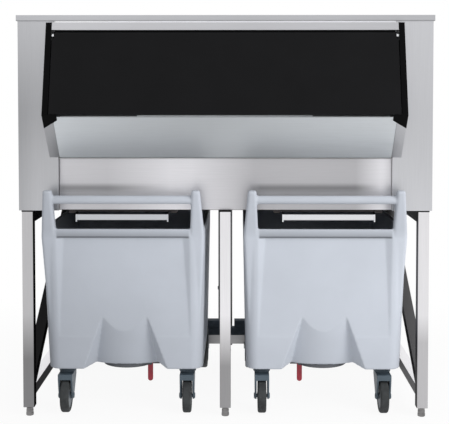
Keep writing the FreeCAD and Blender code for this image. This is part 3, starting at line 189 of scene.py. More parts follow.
# Painted shade and painted light on the carts' walls, painted shade on the push bars and rolled rim, and a painted
# shadow line under the rim
CART_SHADED_X = -0.70
CART_SHADE_END_X = -0.15
CART_SHADE_TONE = 0.84
LEFT_LOW_CART = -0.055
LEFT_HIGH_CART = 0.08
LOW_CART_Z = 0.28
HIGH_CART_Z = 0.66
LEFT_BAR_TONE = 0.94
RIGHT_BAR_TONE = 0.89
BAR_FADE_Z = 0.670
RIM_TONE = 0.56
RIM_SHADOW_TONE = 0.42
RIM_SHADOW_Z = 0.6745
RIM_SHADOW_CORE = 0.002
RIM_SHADOW_EDGE = 0.005
POST_FADE = 0.006

# Half of the floor's side
FLOOR_HALF = 40.0

# Share of plain white that the camera sees in the floor under the object, and where it is all white
FLOOR_WHITE = 0.93
FLOOR_FADE = 1.2

# Soft lamp to the right of the camera, in metres and watts, and the strength of the even light
KEY_PLACE = (2.6, -2.8, 2.3)
KEY_TARGET = (0.2, 0.0, 0.5)
KEY_SIZE = 2.2
KEY_POWER = 95.0
SOFT_LIGHT = 0.55


# Node helpers

def start_material(name, base, roughness, metallic=0.0, specular=0.5):
    """Material with one principled shader, whose even values are set on its own sockets."""
    material = bpy.data.materials.new(name)
    material.use_nodes = True
    shader = material.node_tree.nodes["Principled BSDF"]
    shader.inputs["Base Color"].default_value = (*base, 1.0)
    shader.inputs["Roughness"].default_value = roughness
    shader.inputs["Metallic"].default_value = metallic
    shader.inputs["Specular IOR Level"].default_value = specular
    return material, material.node_tree, shader


def placed(tree, scale=(1.0, 1.0, 1.0), shift=(0.0, 0.0, 0.0)):
    """Object coordinates, shifted and stretched."""
    coords = tree.nodes.new("ShaderNodeTexCoord")
    mapping = tree.nodes.new("ShaderNodeMapping")
    mapping.inputs["Location"].default_value = shift
    mapping.inputs["Scale"].default_value = scale
    tree.links.new(coords.outputs["Object"], mapping.inputs["Vector"])
    return mapping.outputs["Vector"]


def noise(tree, vector, scale, detail=3.0, rough=0.5):
    """Noise value between about 0.3 and 0.7."""
    node = tree.nodes.new("ShaderNodeTexNoise")
    node.inputs["Scale"].default_value = scale
    node.inputs["Detail"].default_value = detail
    node.inputs["Roughness"].default_value = rough
    tree.links.new(vector, node.inputs["Vector"])
    return node.outputs["Fac"]


def spread(tree, value, low, high, start=0.3, end=0.7):
    """Value stretched from start..end to low..high."""
    node = tree.nodes.new("ShaderNodeMapRange")
    node.inputs["From Min"].default_value = start
    node.inputs["From Max"].default_value = end
    node.inputs["To Min"].default_value = low
    node.inputs["To Max"].default_value = high
    tree.links.new(value, node.inputs["Value"])
    return node.outputs["Result"]


def blend_colours(tree, factor, dark, light):
    """Colour between two, by a factor from 0 to 1."""
    node = tree.nodes.new("ShaderNodeMix")
    node.data_type = "RGBA"
    node.inputs["A"].default_value = (*dark, 1.0)
    node.inputs["B"].default_value = (*light, 1.0)
    tree.links.new(factor, node.inputs["Factor"])
    return node.outputs["Result"]


def add_bump(tree, shader, height, strength, distance):
    """Bump from a height value."""
    node = tree.nodes.new("ShaderNodeBump")
    node.inputs["Strength"].default_value = strength
    node.inputs["Distance"].default_value = distance
    tree.links.new(height, node.inputs["Height"])
    tree.links.new(node.outputs["Normal"], shader.inputs["Normal"])


def shade(colour, factor):
    """Colour made darker or lighter by a factor."""
    return tuple(channel * factor for channel in colour)


def combine(tree, operation, first, second):
    """Result of a sum, product or other operation on two values; the second may be a plain number."""
    node = tree.nodes.new("ShaderNodeMath")
    node.operation = operation
    tree.links.new(first, node.inputs[0])
    if isinstance(second, float):
        node.inputs[1].default_value = second
    else:
        tree.links.new(second, node.inputs[1])
    return node.outputs["Value"]


def axis_value(tree, axis):
    """One axis of the object coordinates."""
    coords = tree.nodes.new("ShaderNodeTexCoord")
    parts = tree.nodes.new("ShaderNodeSeparateXYZ")
    tree.links.new(coords.outputs["Object"], parts.inputs["Vector"])
    return parts.outputs[axis]


def distance_from(tree, axis, place):
    """Distance along one axis from a place on it."""
    return combine(tree, "ABSOLUTE", combine(tree, "SUBTRACT", axis_value(tree, axis), place), 0.0)


def product(tree, first, *others):
    """Product of several values."""
    result = first
    for value in others:
        result = combine(tree, "MULTIPLY", result, value)
    return result


def inverse(tree, value):
    """1 where a value is 0, and 0 where it is 1."""
    return spread(tree, value, 1.0, 0.0, 0.0, 1.0)


def side_level(tree, left, right, reach=LEG_X):
    """Value that goes from left to right across the object, out to the same reach on both sides."""
    return spread(tree, axis_value(tree, "X"), left, right, -reach, reach)


def blend_values(tree, factor, first, second):
    """Value between two, by a factor from 0 to 1."""
    node = tree.nodes.new("ShaderNodeMix")
    tree.links.new(factor, node.inputs["Factor"])
    tree.links.new(first, node.inputs["A"])
    tree.links.new(second, node.inputs["B"])
    return node.outputs["Result"]


def toned(tree, colour, factor):
    """Colour darkened by a factor from 0 to 1."""
    mix = tree.nodes.new("ShaderNodeMix")
    mix.data_type = "RGBA"
    mix.inputs["A"].default_value = (0.0, 0.0, 0.0, 1.0)
    tree.links.new(factor, mix.inputs["Factor"])
    tree.links.new(colour, mix.inputs["B"])
    return mix.outputs["Result"]


# Painted light and shade of the finishes

def between_legs(tree):
    """1 between a side frame's front and rear legs."""
    middle, half = (FRONT_LEG_Y + REAR_LEG_Y) / 2, (REAR_LEG_Y - FRONT_LEG_Y) / 2 - TUBE_HALF
    return combine(tree, "LESS_THAN", distance_from(tree, "Y", middle), half - FACE_MARGIN)


def brace_mask(tree):
    """1 on a side frame's diagonal brace, between its legs and rails, but not on its outer face."""
    middle, half = (LOW_RAIL_TOP + TOP_RAIL_BOTTOM) / 2, (TOP_RAIL_BOTTOM - LOW_RAIL_TOP) / 2
    up = combine(tree, "LESS_THAN", distance_from(tree, "Z", middle), half - FACE_MARGIN)
    inside = combine(tree, "LESS_THAN", distance_from(tree, "X", 0.0), OUTER_FACE_X)
    return product(tree, between_legs(tree), up, inside)


def leg_painted_shade(tree):
    """Legs: full colour outside and at the middle, with painted shade and painted dark reflections on the faces
    that turn in, at the back and low down.
    """
    across = distance_from(tree, "X", 0.0)
    outside = spread(tree, across, 0.0, 1.0, INNER_FACE_X - 3 * FACE_MARGIN, INNER_FACE_X + 3 * FACE_MARGIN)
    inner_level = side_level(tree, LEFT_INNER_FACE_TONE, RIGHT_INNER_FACE_TONE)
    faces = combine(tree, "MAXIMUM", outside, inner_level)
    middle = spread(tree, across, 1.0, 0.0, TUBE_HALF - 6 * FACE_MARGIN, TUBE_HALF - FACE_MARGIN)
    side_legs = product(tree, faces, side_level(tree, LEFT_LEG_TONE, RIGHT_LEG_TONE))
    legs = combine(tree, "MAXIMUM", side_legs, middle)
    depth = spread(tree, axis_value(tree, "Y"), 1.0, REAR_TUBE_TONE, FRONT_LEG_Y + TUBE_HALF, REAR_LEG_Y)
    side_low = side_level(tree, LEFT_LOW_LEG_TONE, RIGHT_LOW_LEG_TONE)
    low_level = combine(tree, "SUBTRACT", side_low, product(tree, middle, MIDDLE_LOW_LEG_DROP))
    height = spread(tree, axis_value(tree, "Z"), 0.0, 1.0, LEG_LOW_SHADE_FULL_Z, LEG_LOW_SHADE_END_Z)
    return product(tree, legs, depth, combine(tree, "MAXIMUM", height, low_level))


def low_rail_painted_shade(tree):
    """Low rails of the side frames: full colour on top, with painted shade on their sides."""
    top, bottom = LOW_RAIL_TOP - 2 * FACE_MARGIN, LOW_RAIL_TOP - 6 * FACE_MARGIN
    on_top = spread(tree, axis_value(tree, "Z"), 0.0, 1.0, bottom, top)
    return combine(tree, "MAXIMUM", on_top, side_level(tree, LEFT_RAIL_TONE, RIGHT_RAIL_TONE))


def tube_painted_shade(tree):
    """Stand tubes: the legs' painted shade, with near-black painted shade on the braces and painted shade of their
    own on the low rails.
    """
    braces = side_level(tree, LEFT_BRACE_TONE, RIGHT_BRACE_TONE)
    with_braces = blend_values(tree, brace_mask(tree), leg_painted_shade(tree), braces)
    low = combine(tree, "LESS_THAN", axis_value(tree, "Z"), LOW_RAIL_TOP + FACE_MARGIN)
    on_rail = product(tree, low, between_legs(tree))
    return blend_values(tree, on_rail, with_braces, low_rail_painted_shade(tree))


def from_cart(tree, middle, offset):
    """Distance across from the nearer cart's middle, with a cart at the offset on each side of a middle."""
    beside = combine(tree, "SUBTRACT", distance_from(tree, "X", middle), offset)
    return combine(tree, "ABSOLUTE", beside, 0.0)


def near_x(tree, place, core, reach):
    """1 near a place across the object, fading to 0 at a distance from it."""
    return spread(tree, distance_from(tree, "X", place), 1.0, 0.0, core, reach)


def panel_painted_light_and_shade(tree):
    """Lower front panel: two soft painted reflections as bright patches on a sheet with painted shade, and a band
    of painted shade above each push bar, which the painted reflections wash out."""
    left_reflection = near_x(tree, LEFT_REFLECTION_X, LEFT_REFLECTION_CORE, LEFT_REFLECTION_REACH)
    right_reflection = near_x(tree, RIGHT_REFLECTION_X, RIGHT_REFLECTION_CORE, RIGHT_REFLECTION_REACH)
    away_from_reflections = inverse(tree, combine(tree, "MAXIMUM", left_reflection, right_reflection))
    sheet = side_level(tree, 1.0 - LEFT_PANEL_TONE, 1.0 - RIGHT_PANEL_TONE)
    from_band = distance_from(tree, "Z", PUSH_BAR_TOP)
    near_band = spread(tree, from_band, PANEL_BAND_DEPTH, 0.0, PANEL_BAND_CORE, PANEL_BAND_EDGE)
    from_middle = from_cart(tree, 0.0, RIGHT_CART_X)
    over_bar = spread(tree, from_middle, 1.0, 0.0, PANEL_BAND_HALF_WIDTH, PANEL_BAND_END)
    band = product(tree, near_band, over_bar, away_from_reflections)
    return product(tree, inverse(tree, product(tree, sheet, away_from_reflections)), inverse(tree, band))


def post_painted_shade(tree):
    """Cabinet sides: a soft belt of painted dark reflection at mid height, deeper and on a sheet with more painted
    shade on the left, where the outer edge has painted shade low down."""
    from_belt = distance_from(tree, "Z", POST_BELT_Z)
    near_belt = spread(tree, from_belt, 1.0, 0.0, POST_BELT_CORE, POST_BELT_EDGE)
    belt = product(tree, near_belt, side_level(tree, LEFT_POST_BELT, RIGHT_POST_BELT))
    edge_x = left_panel_low.x
    near_edge = spread(tree, axis_value(tree, "X"), LEFT_EDGE_DEPTH, 0.0, edge_x, edge_x + LEFT_EDGE_WIDTH)
    low = spread(tree, axis_value(tree, "Z"), 1.0, 0.0, LEFT_EDGE_LOW, LEFT_EDGE_HIGH)
    edge = product(tree, near_edge, low)
    sheet = side_level(tree, LEFT_POST_TONE, 1.0)
    return product(tree, inverse(tree, belt), inverse(tree, edge), sheet)


def cover_painted_light_and_shade(tree):
    """Cover over the hood: painted shade on the strip and roof, and a painted highlight on the header where it
    folds up the cabinet.
    """
    return spread(tree, axis_value(tree, "Z"), COVER_TONE, 1.0, HOOD_TOP, HOOD_TOP + COVER_FADE)


def top_frame_painted_shadow(tree):
    """Top frame: a thin painted shadow line along its lower edge."""
    middle, top = TOP_FRAME_BOTTOM + LIP_HEIGHT / 2, TOP_FRAME_BOTTOM + LIP_HEIGHT
    return spread(tree, axis_value(tree, "Z"), LIP_SHADOW_TONE, 1.0, middle, top)


def sill_painted_shade(tree):
    """Sloped sill: a little painted shade towards the middle and towards its upper edge."""
    from_middle = distance_from(tree, "X", SILL_SHADE_X)
    across = spread(tree, from_middle, SILL_SHADE_TONE, 1.0, 0.0, SILL_SHADE_REACH)
    up = spread(tree, axis_value(tree, "Z"), 1.0, SILL_TOP_TONE, SILL_MIDDLE_Z, SILL_TOP_Z)
    return product(tree, across, up)


def cart_wall_painted_shade(tree):
    """Cart walls: painted shade towards the far left, where they are also painted darker low down and lighter high
    up, and painted shade on the push bars."""
    across = spread(tree, axis_value(tree, "X"), CART_SHADE_TONE, 1.0, CART_SHADED_X, CART_SHADE_END_X)
    on_left = side_level(tree, 1.0, 0.0, -CART_SHADE_END_X)
    tilt = spread(tree, axis_value(tree, "Z"), LEFT_LOW_CART, LEFT_HIGH_CART, LOW_CART_Z, HIGH_CART_Z)
    height = combine(tree, "ADD", product(tree, on_left, tilt), 1.0)
    at_bar = spread(tree, axis_value(tree, "Z"), 0.0, 1.0, BAR_FADE_Z, RIM_TOP)
    bar = product(tree, at_bar, side_level(tree, 1.0 - LEFT_BAR_TONE, 1.0 - RIGHT_BAR_TONE, RIGHT_CART_X))
    return product(tree, across, height, inverse(tree, bar))


def cart_painted_shade(tree):
    """Cart plastic: the walls' painted shade, with painted shade on the rolled rim between the posts and a painted
    shadow line under it."""
    from_middle = from_cart(tree, CARTS_MIDDLE, CART_FROM_MIDDLE)
    between_posts = spread(tree, from_middle, 1.0, 0.0, POST_INNER_X - POST_FADE, POST_INNER_X)
    at_front = combine(tree, "LESS_THAN", axis_value(tree, "Y"), FRONT_PLANE + RIM_DEPTH)
    front = product(tree, between_posts, at_front)
    on_rim = product(tree, front, combine(tree, "GREATER_THAN", axis_value(tree, "Z"), RIM_BOTTOM))
    rim_shade = spread(tree, axis_value(tree, "Z"), 1.0 - RIM_TONE, 0.0, RIM_BOTTOM, RIM_TOP)
    from_rim_shadow = distance_from(tree, "Z", RIM_SHADOW_Z)
    rim_shadow_shade = spread(tree, from_rim_shadow, 1.0 - RIM_SHADOW_TONE, 0.0, RIM_SHADOW_CORE, RIM_SHADOW_EDGE)
    rim = inverse(tree, product(tree, on_rim, rim_shade))
    rim_shadow = inverse(tree, product(tree, front, rim_shadow_shade))
    return product(tree, cart_wall_painted_shade(tree), rim, rim_shadow)


# Materials

def brushed_steel(name, base, grain, roughness=0.36, tone=None):
    """Stainless sheet: fine streaks along one direction over soft cloudy variation.

    tone is a function that gives painted light and shade as a further factor on the colour, such as a painted
    shade band, and on the reflections that glance off the sheet."""
    material, tree, shader = start_material(name, base, roughness, metallic=1.0)
    streaks = noise(tree, placed(tree, grain), 1.0, detail=3.0, rough=0.6)
    clouds = noise(tree, placed(tree), 1.3, detail=1.0)
    level = combine(tree, "ADD", spread(tree, streaks, 0.0, 0.35), spread(tree, clouds, 0.0, 0.65))
    colour = blend_colours(tree, level, shade(base, 0.90), shade(base, 1.10))
    if tone:
        factor = tone(tree)
        colour = toned(tree, colour, factor)
        tree.links.new(factor, shader.inputs["Specular Tint"])
    tree.links.new(colour, shader.inputs["Base Color"])
    tree.links.new(spread(tree, streaks, roughness - 0.04, roughness + 0.05), shader.inputs["Roughness"])
    add_bump(tree, shader, streaks, 0.05, 0.0002)
    return material


def bright_steel(name, base):
    """Polished bar with faint polishing lines."""
    material, tree, shader = start_material(name, base, 0.16, metallic=1.0)
    lines = noise(tree, placed(tree, (30.0, 500.0, 500.0)), 1.0, detail=3.0)
    tree.links.new(spread(tree, lines, 0.12, 0.24), shader.inputs["Roughness"])
    add_bump(tree, shader, lines, 0.05, 0.0003)
    return material


def zinc_plate(name, base):
    """Zinc-plated steel: cloudy grey patches with a satin gloss."""
    material, tree, shader = start_material(name, base, 0.42, metallic=1.0)
    patches = noise(tree, placed(tree), 45.0, detail=4.0, rough=0.6)
    colour = blend_colours(tree, spread(tree, patches, 0.0, 1.0), shade(base, 0.75), shade(base, 1.15))
    tree.links.new(colour, shader.inputs["Base Color"])
    tree.links.new(spread(tree, patches, 0.34, 0.52), shader.inputs["Roughness"])
    add_bump(tree, shader, patches, 0.08, 0.0005)
    return material


def moulded_plastic(name, base, roughness, grain, grain_depth, specular=0.4, mottle=0.05, tone=None):
    """Moulded plastic: even colour with slight mottling, and a fine moulded grain.

    tone is a function that gives painted light and shade as a further factor on the colour."""
    material, tree, shader = start_material(name, base, roughness, specular=specular)
    mottling = noise(tree, placed(tree), 6.0, detail=4.0, rough=0.55)
    grains = noise(tree, placed(tree), grain, detail=2.0)
    level = spread(tree, mottling, 0.0, 1.0)
    colour = blend_colours(tree, level, shade(base, 1.0 - mottle), shade(base, 1.0 + mottle))
    if tone:
        colour = toned(tree, colour, tone(tree))
    tree.links.new(colour, shader.inputs["Base Color"])
    tree.links.new(spread(tree, grains, roughness - 0.05, roughness + 0.05), shader.inputs["Roughness"])
    add_bump(tree, shader, grains, 0.25, grain_depth)
    return material


def worn_rubber(name, base):
    """Rubber: dull, dusty in patches, with a pebbled surface."""
    material, tree, shader = start_material(name, base, 0.75, specular=0.3)
    dust = noise(tree, placed(tree), 28.0, detail=5.0, rough=0.6)
    pebbles = noise(tree, placed(tree), 700.0, detail=2.0)
    colour = blend_colours(tree, spread(tree, dust, 0.0, 1.0), shade(base, 0.75), shade(base, 1.5))
    tree.links.new(colour, shader.inputs["Base Color"])
    add_bump(tree, shader, pebbles, 0.3, 0.0006)
    return material


def two_part_wheel(name, tyre, hub):
    """Rear wheel: hub colour inside the hub's radius about the axle, tyre colour outside it."""
    material, tree, shader = start_material(name, tyre, 0.62, specular=0.35)
    flat = placed(tree, (0.0, 1.0, 1.0), (0.0, -REAR_AXLE_Y, -REAR_AXLE_Z))
    length = tree.nodes.new("ShaderNodeVectorMath")
    length.operation = "LENGTH"
    tree.links.new(flat, length.inputs[0])
    inner, outer = REAR_HUB_RADIUS - HUB_BLUR, REAR_HUB_RADIUS + HUB_BLUR
    edge = spread(tree, length.outputs["Value"], 0.0, 1.0, inner, outer)
    dust = noise(tree, placed(tree), 40.0, detail=4.0)
    colour = tree.nodes.new("ShaderNodeMix")
    colour.data_type = "RGBA"
    tree.links.new(edge, colour.inputs["Factor"])
    dusted = spread(tree, dust, 0.0, 1.0)
    tree.links.new(blend_colours(tree, dusted, shade(hub, 0.85), shade(hub, 1.15)), colour.inputs["A"])
    tree.links.new(blend_colours(tree, dusted, shade(tyre, 0.8), shade(tyre, 1.4)), colour.inputs["B"])
    tree.links.new(colour.outputs["Result"], shader.inputs["Base Color"])
    add_bump(tree, shader, noise(tree, placed(tree), 600.0), 0.25, 0.0006)
    return material


def dipped_vinyl(name, base):
    """Red dipped lever sleeve: glossy, with faint runs."""
    material, tree, shader = start_material(name, base, 0.32, specular=0.5)
    runs = noise(tree, placed(tree, (300.0, 300.0, 60.0)), 1.0, detail=3.0)
    colour = blend_colours(tree, spread(tree, runs, 0.0, 1.0), shade(base, 0.85), shade(base, 1.1))
    tree.links.new(colour, shader.inputs["Base Color"])
    add_bump(tree, shader, runs, 0.15, 0.0006)
    return material


def cut_foam(name, base):
    """Insulating foam: small closed cells."""
    material, tree, shader = start_material(name, base, 0.9, specular=0.1)
    cells = tree.nodes.new("ShaderNodeTexVoronoi")
    cells.inputs["Scale"].default_value = 500.0
    tree.links.new(placed(tree), cells.inputs["Vector"])
    colour = blend_colours(tree, cells.outputs["Distance"], shade(base, 0.8), base)
    tree.links.new(colour, shader.inputs["Base Color"])
    add_bump(tree, shader, cells.outputs["Distance"], 0.5, 0.001)
    return material


# Streaks per metre along x, y and z
UPRIGHT_GRAIN = (500.0, 500.0, 9.0)
LEVEL_GRAIN = (9.0, 500.0, 500.0)
TUBE_GRAIN = (500.0, 500.0, 12.0)

# Plain colours; the stainless ones are one steel set lighter or darker part by part as painted light and shade,
# down to near black on the gate plates, runners and bottom pan
STEEL = (0.515, 0.520, 0.541)
POST_STEEL = (0.620, 0.625, 0.650)
PANEL_STEEL = (0.785, 0.779, 0.810)
COVER_STEEL = (0.930, 0.933, 0.970)
SILL_STEEL = (0.880, 0.915, 0.945)
TUBE_STEEL = (0.860, 0.850, 0.870)
LOW_RAIL_STEEL = (0.370, 0.368, 0.376)
SHADED_GATE_STEEL = (0.060, 0.055, 0.055)
CART_COLOUR = (0.583, 0.616, 0.675)
BLACK = (0.0055, 0.0055, 0.0061)

finishes = {
    "post": brushed_steel("stainless_post", POST_STEEL, UPRIGHT_GRAIN, tone=post_painted_shade),
    "panel": brushed_steel("stainless_panel", PANEL_STEEL, LEVEL_GRAIN, tone=panel_painted_light_and_shade),
    "sill": brushed_steel("stainless_sill", SILL_STEEL, LEVEL_GRAIN, 0.55, sill_painted_shade),
    "rail": brushed_steel("stainless_rail", STEEL, LEVEL_GRAIN, tone=top_frame_painted_shadow),
    "cover": brushed_steel("stainless_cover", COVER_STEEL, LEVEL_GRAIN, tone=cover_painted_light_and_shade),
    "tube": brushed_steel("stainless_tube", TUBE_STEEL, TUBE_GRAIN, 0.33, tube_painted_shade),
    "low_rail": brushed_steel("stainless_low_rail", LOW_RAIL_STEEL, LEVEL_GRAIN, 0.42),
    # Near-black steel of the gate plates, runners and bottom pan is painted shade
    "gate": brushed_steel("gate_steel", SHADED_GATE_STEEL, LEVEL_GRAIN, 0.4),
    "bright": bright_steel("polished_bar", (0.74, 0.75, 0.77)),
    "dull_bar": bright_steel("dull_bar", (0.53, 0.545, 0.57)),
    "zinc": zinc_plate("zinc_plate", (0.46, 0.48, 0.50)),
    "foot": zinc_plate("foot_zinc", (0.24, 0.235, 0.235)),
    "door": moulded_plastic("door_black", BLACK, 0.42, 1400.0, 0.0002, specular=0.10, mottle=0.12),
    "cap": moulded_plastic("end_cap_black", shade(BLACK, 0.4), 0.5, 900.0, 0.0004, specular=0.05, mottle=0.1),
    "rubber": worn_rubber("stop_rubber", (0.066, 0.082, 0.100)),
    "liner": moulded_plastic("liner_white", (0.72, 0.74, 0.75), 0.4, 300.0, 0.0004),
    "foam": cut_foam("foam", (0.80, 0.72, 0.45)),
    "pipe": moulded_plastic("pipe_grey", (0.09, 0.095, 0.105), 0.45, 800.0, 0.0003),
    "cart": moulded_plastic("cart_plastic", CART_COLOUR, 0.55, 750.0, 0.0006, specular=0.15, mottle=0.025,
                            tone=cart_painted_shade),
    "nylon": moulded_plastic("castor_nylon", (0.080, 0.108, 0.132), 0.45, 900.0, 0.0004, mottle=0.12),
    "tyre": worn_rubber("castor_tyre", (0.042, 0.045, 0.046)),
    "hub": moulded_plastic("castor_hub", (0.16, 0.18, 0.20), 0.5, 700.0, 0.0004),
    "wheel": two_part_wheel("rear_wheel", (0.035, 0.037, 0.039), (0.16, 0.18, 0.20)),
    "lever": dipped_vinyl("lever_red", (0.53, 0.034, 0.060)),
}

finish_of_slot = {
    "stainless": "post", "stand_steel": "tube", "bright_steel": "bright", "zinc_steel": "zinc",
    "foot_steel": "foot", "black_plastic": "door", "black_rubber": "rubber", "white_plastic": "liner",
    "foam": "foam", "grey_plastic": "pipe", "cart_plastic": "cart", "castor_nylon": "nylon",
    "grey_tyre": "tyre", "hub_plastic": "hub", "lever_red": "lever",
}
finish_of_node = {
    "left_end_cap": "cap", "right_end_cap": "cap", "leg_pads": "cap", "hood_top_rail": "cover",
    "hood_sill": "sill", "top_frame": "rail", "cross_rails": "low_rail", "lower_front_panel": "panel",
    "left_gate_handle": "dull_bar", "left_gate_plate": "gate", "right_gate_plate": "gate",
    "gate_runners": "gate", "bottom_pan": "gate",
}


def dress_nodes():
    """Give every node the finish of its own, or of its material slot."""
    for entry in frame["record"]["subparts"]:
        node = entry["node"]
        finish = finish_of_node.get(node, finish_of_slot[entry["material_slot"]])
        if node.endswith("rear_wheel"):
            finish = "wheel"
        mesh = nodes[node].data
        mesh.materials.clear()
        mesh.materials.append(finishes[finish])


# New pieces

def add_piece(name, mesh, body, finish):
    """Object at the origin that carries a mesh, rides on a body and has a finish."""
    piece = bpy.data.objects.new(name, mesh)
    bpy.context.scene.collection.objects.link(piece)
    mesh.materials.clear()
    mesh.materials.append(finishes[finish])
    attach(piece, body)
    return piece


def soft_copy(node, body, slot, finish, voxel, passes, keep=1.0):
    """Moulded piece: the node's closed skin rebuilt on an even grid of voxels and relaxed, so its edges
    turn round. keep is the share of the faces that stay where flat walls need fewer."""
    mesh = nodes[node].data.copy()
    work = bmesh.new()
    work.from_mesh(mesh)
    bmesh.ops.remove_doubles(work, verts=work.verts, dist=1e-6)
    work.to_mesh(mesh)
    work.free()
    source = bpy.data.objects.new("shape_of_" + node, mesh)
    bpy.context.scene.collection.objects.link(source)
    remesh = source.modifiers.new("even_skin", "REMESH")
    remesh.mode = "VOXEL"
    remesh.voxel_size = voxel
    relax = source.modifiers.new("relax", "SMOOTH")
    relax.factor = 0.5
    relax.iterations = passes
    if keep < 1.0:
        thin = source.modifiers.new("fewer_faces", "DECIMATE")
        thin.ratio = keep
    depsgraph = bpy.context.evaluated_depsgraph_get()
    result = bpy.data.meshes.new_from_object(source.evaluated_get(depsgraph))
    bpy.data.objects.remove(source)
    result.name = "moulded_" + node
    result.polygons.foreach_set("use_smooth", np.ones(len(result.polygons), dtype=bool))
    piece = add_piece("moulded_" + node, result, body, finish)
    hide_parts(node)
    return piece


def turned_mesh(name, profile, centres, steps=48):
    """Pieces turned about upright axes: each radius and height of the profile goes round a full circle,
    x = radius cos(angle), y = radius sin(angle), at every centre."""
    profile = np.asarray(profile, dtype=float)
    angle = np.linspace(0.0, 2.0 * math.pi, steps, endpoint=False)
    radius = profile[:, 0][:, None]
    height = np.repeat(profile[:, 1][:, None], steps, axis=1)
    ring = np.stack([radius * np.cos(angle), radius * np.sin(angle), height], axis=-1).reshape(-1, 3)
    rows, cols = len(profile), steps
    row = np.arange(rows - 1)[:, None] * cols
    col = np.arange(cols)[None, :]
    after = (col + 1) % cols
    quads = np.stack([row + col, row + after, row + cols + after, row + cols + col], axis=-1).reshape(-1, 4)
    places = np.asarray(centres, dtype=float)
    points = (places[:, None, :] + ring[None, :, :]).reshape(-1, 3)
    faces = (np.arange(len(places))[:, None, None] * len(ring) + quads[None, :, :]).reshape(-1, 4)
    mesh = bpy.data.meshes.new(name)
    mesh.from_pydata(points.tolist(), [], faces.tolist())
    mesh.update()
    work = bmesh.new()
    work.from_mesh(mesh)
    bmesh.ops.remove_doubles(work, verts=work.verts, dist=1e-7)
    bmesh.ops.recalc_face_normals(work, faces=work.faces)
    work.to_mesh(mesh)
    work.free()
    return mesh


def levelling_feet():
    """Turned feet: a flat sole with a rounded rim, a tapering body, and a screwed stem with a thread."""
    body = [(0.0, 0.0), (FOOT_RADIUS - FOOT_RIM_WIDTH, 0.0), (FOOT_RADIUS - FOOT_RIM_BULGE, FOOT_ROUND),
            (FOOT_RADIUS, FOOT_RIM_TOP), (FOOT_RADIUS, FOOT_SOLE_TOP),
            (FOOT_WAIST, FOOT_SOLE_TOP + FOOT_ROUND), (FOOT_WAIST, FOOT_WAIST_TOP),
            (FOOT_NECK, FOOT_WAIST_TOP + FOOT_ROUND), (FOOT_NECK, FOOT_BODY_TOP)]
    quarters = np.arange(0.0, 1.0, 0.25)
    thread = []
    for turn in range(THREAD_TURNS):
        for part in quarters:
            radius = STEM_RADIUS - THREAD_DEPTH * abs(2.0 * part - 1.0)
            thread.append((radius, FOOT_BODY_TOP + THREAD_PITCH * (turn + part)))
    profile = body + thread + [(0.0, LEG_BOTTOM + STEM_RISE)]
    centres = [(x, y, 0.0) for x in (-LEG_X, 0.0, LEG_X) for y in (FRONT_LEG_Y, REAR_LEG_Y)]
    mesh = turned_mesh("levelling_feet", profile, centres)
    piece = add_piece("turned_feet", mesh, "frame", "foot")
    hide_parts("levelling_feet")


def door_seal():
    """Round black seal along the top of the door: a circle of SEAL_RADIUS about a line above the hinge,
    y = centre + radius cos(angle), z = centre + radius sin(angle), carried along x and closed by two fans."""
    angle = np.linspace(0.0, 2.0 * math.pi, SEAL_STEPS, endpoint=False)
    centre_y, centre_z = DOOR_HINGE_Y, DOOR_HINGE_Z + SEAL_RISE
    ring = np.stack([centre_y + SEAL_RADIUS * np.cos(angle), centre_z + SEAL_RADIUS * np.sin(angle)], axis=1)
    pole = np.array([[centre_y, centre_z]])
    section = np.concatenate([ring, pole])
    points = np.concatenate([np.insert(section, 0, x, axis=1) for x in (-SEAL_HALF_LENGTH, SEAL_HALF_LENGTH)])
    first = np.arange(SEAL_STEPS)
    after = (first + 1) % SEAL_STEPS
    far = SEAL_STEPS + 1
    skin = np.stack([first, after, after + far, first + far], axis=1)
    left_end = np.stack([after, first, np.full(SEAL_STEPS, SEAL_STEPS)], axis=1)
    right_end = np.stack([first + far, after + far, np.full(SEAL_STEPS, SEAL_STEPS + far)], axis=1)
    mesh = bpy.data.meshes.new("door_seal")
    mesh.from_pydata(points.tolist(), [], skin.tolist() + left_end.tolist() + right_end.tolist())
    mesh.update()
    add_piece("door_seal", mesh, "access_door", "cap")


def moulded_pieces():
    """Carts, valve levers and castor forks with the round edges of moulded parts."""
    for cart in ("left_cart", "right_cart"):
        soft_copy(cart + "_body", cart, "cart_plastic", "cart", *CART_SKIN, keep=CART_FACES_KEPT)
        soft_copy(cart + "_valve_lever", cart + "_valve_lever", "lever_red", "lever", *LEVER_SKIN)
        for side in ("left", "right"):
            fork = cart + "_" + side + "_castor"
            soft_copy(fork + "_fork", fork, "castor_nylon", "nylon", *FORK_SKIN)


# Stage

def seen_rays(tree):
    """1 for rays that the camera sees, straight or in a reflection; 0 for the light on the object."""
    path = tree.nodes.new("ShaderNodeLightPath")
    mirrored = combine(tree, "MAXIMUM", path.outputs["Is Camera Ray"], path.outputs["Is Glossy Ray"])
    return combine(tree, "MAXIMUM", mirrored, path.outputs["Is Transmission Ray"])


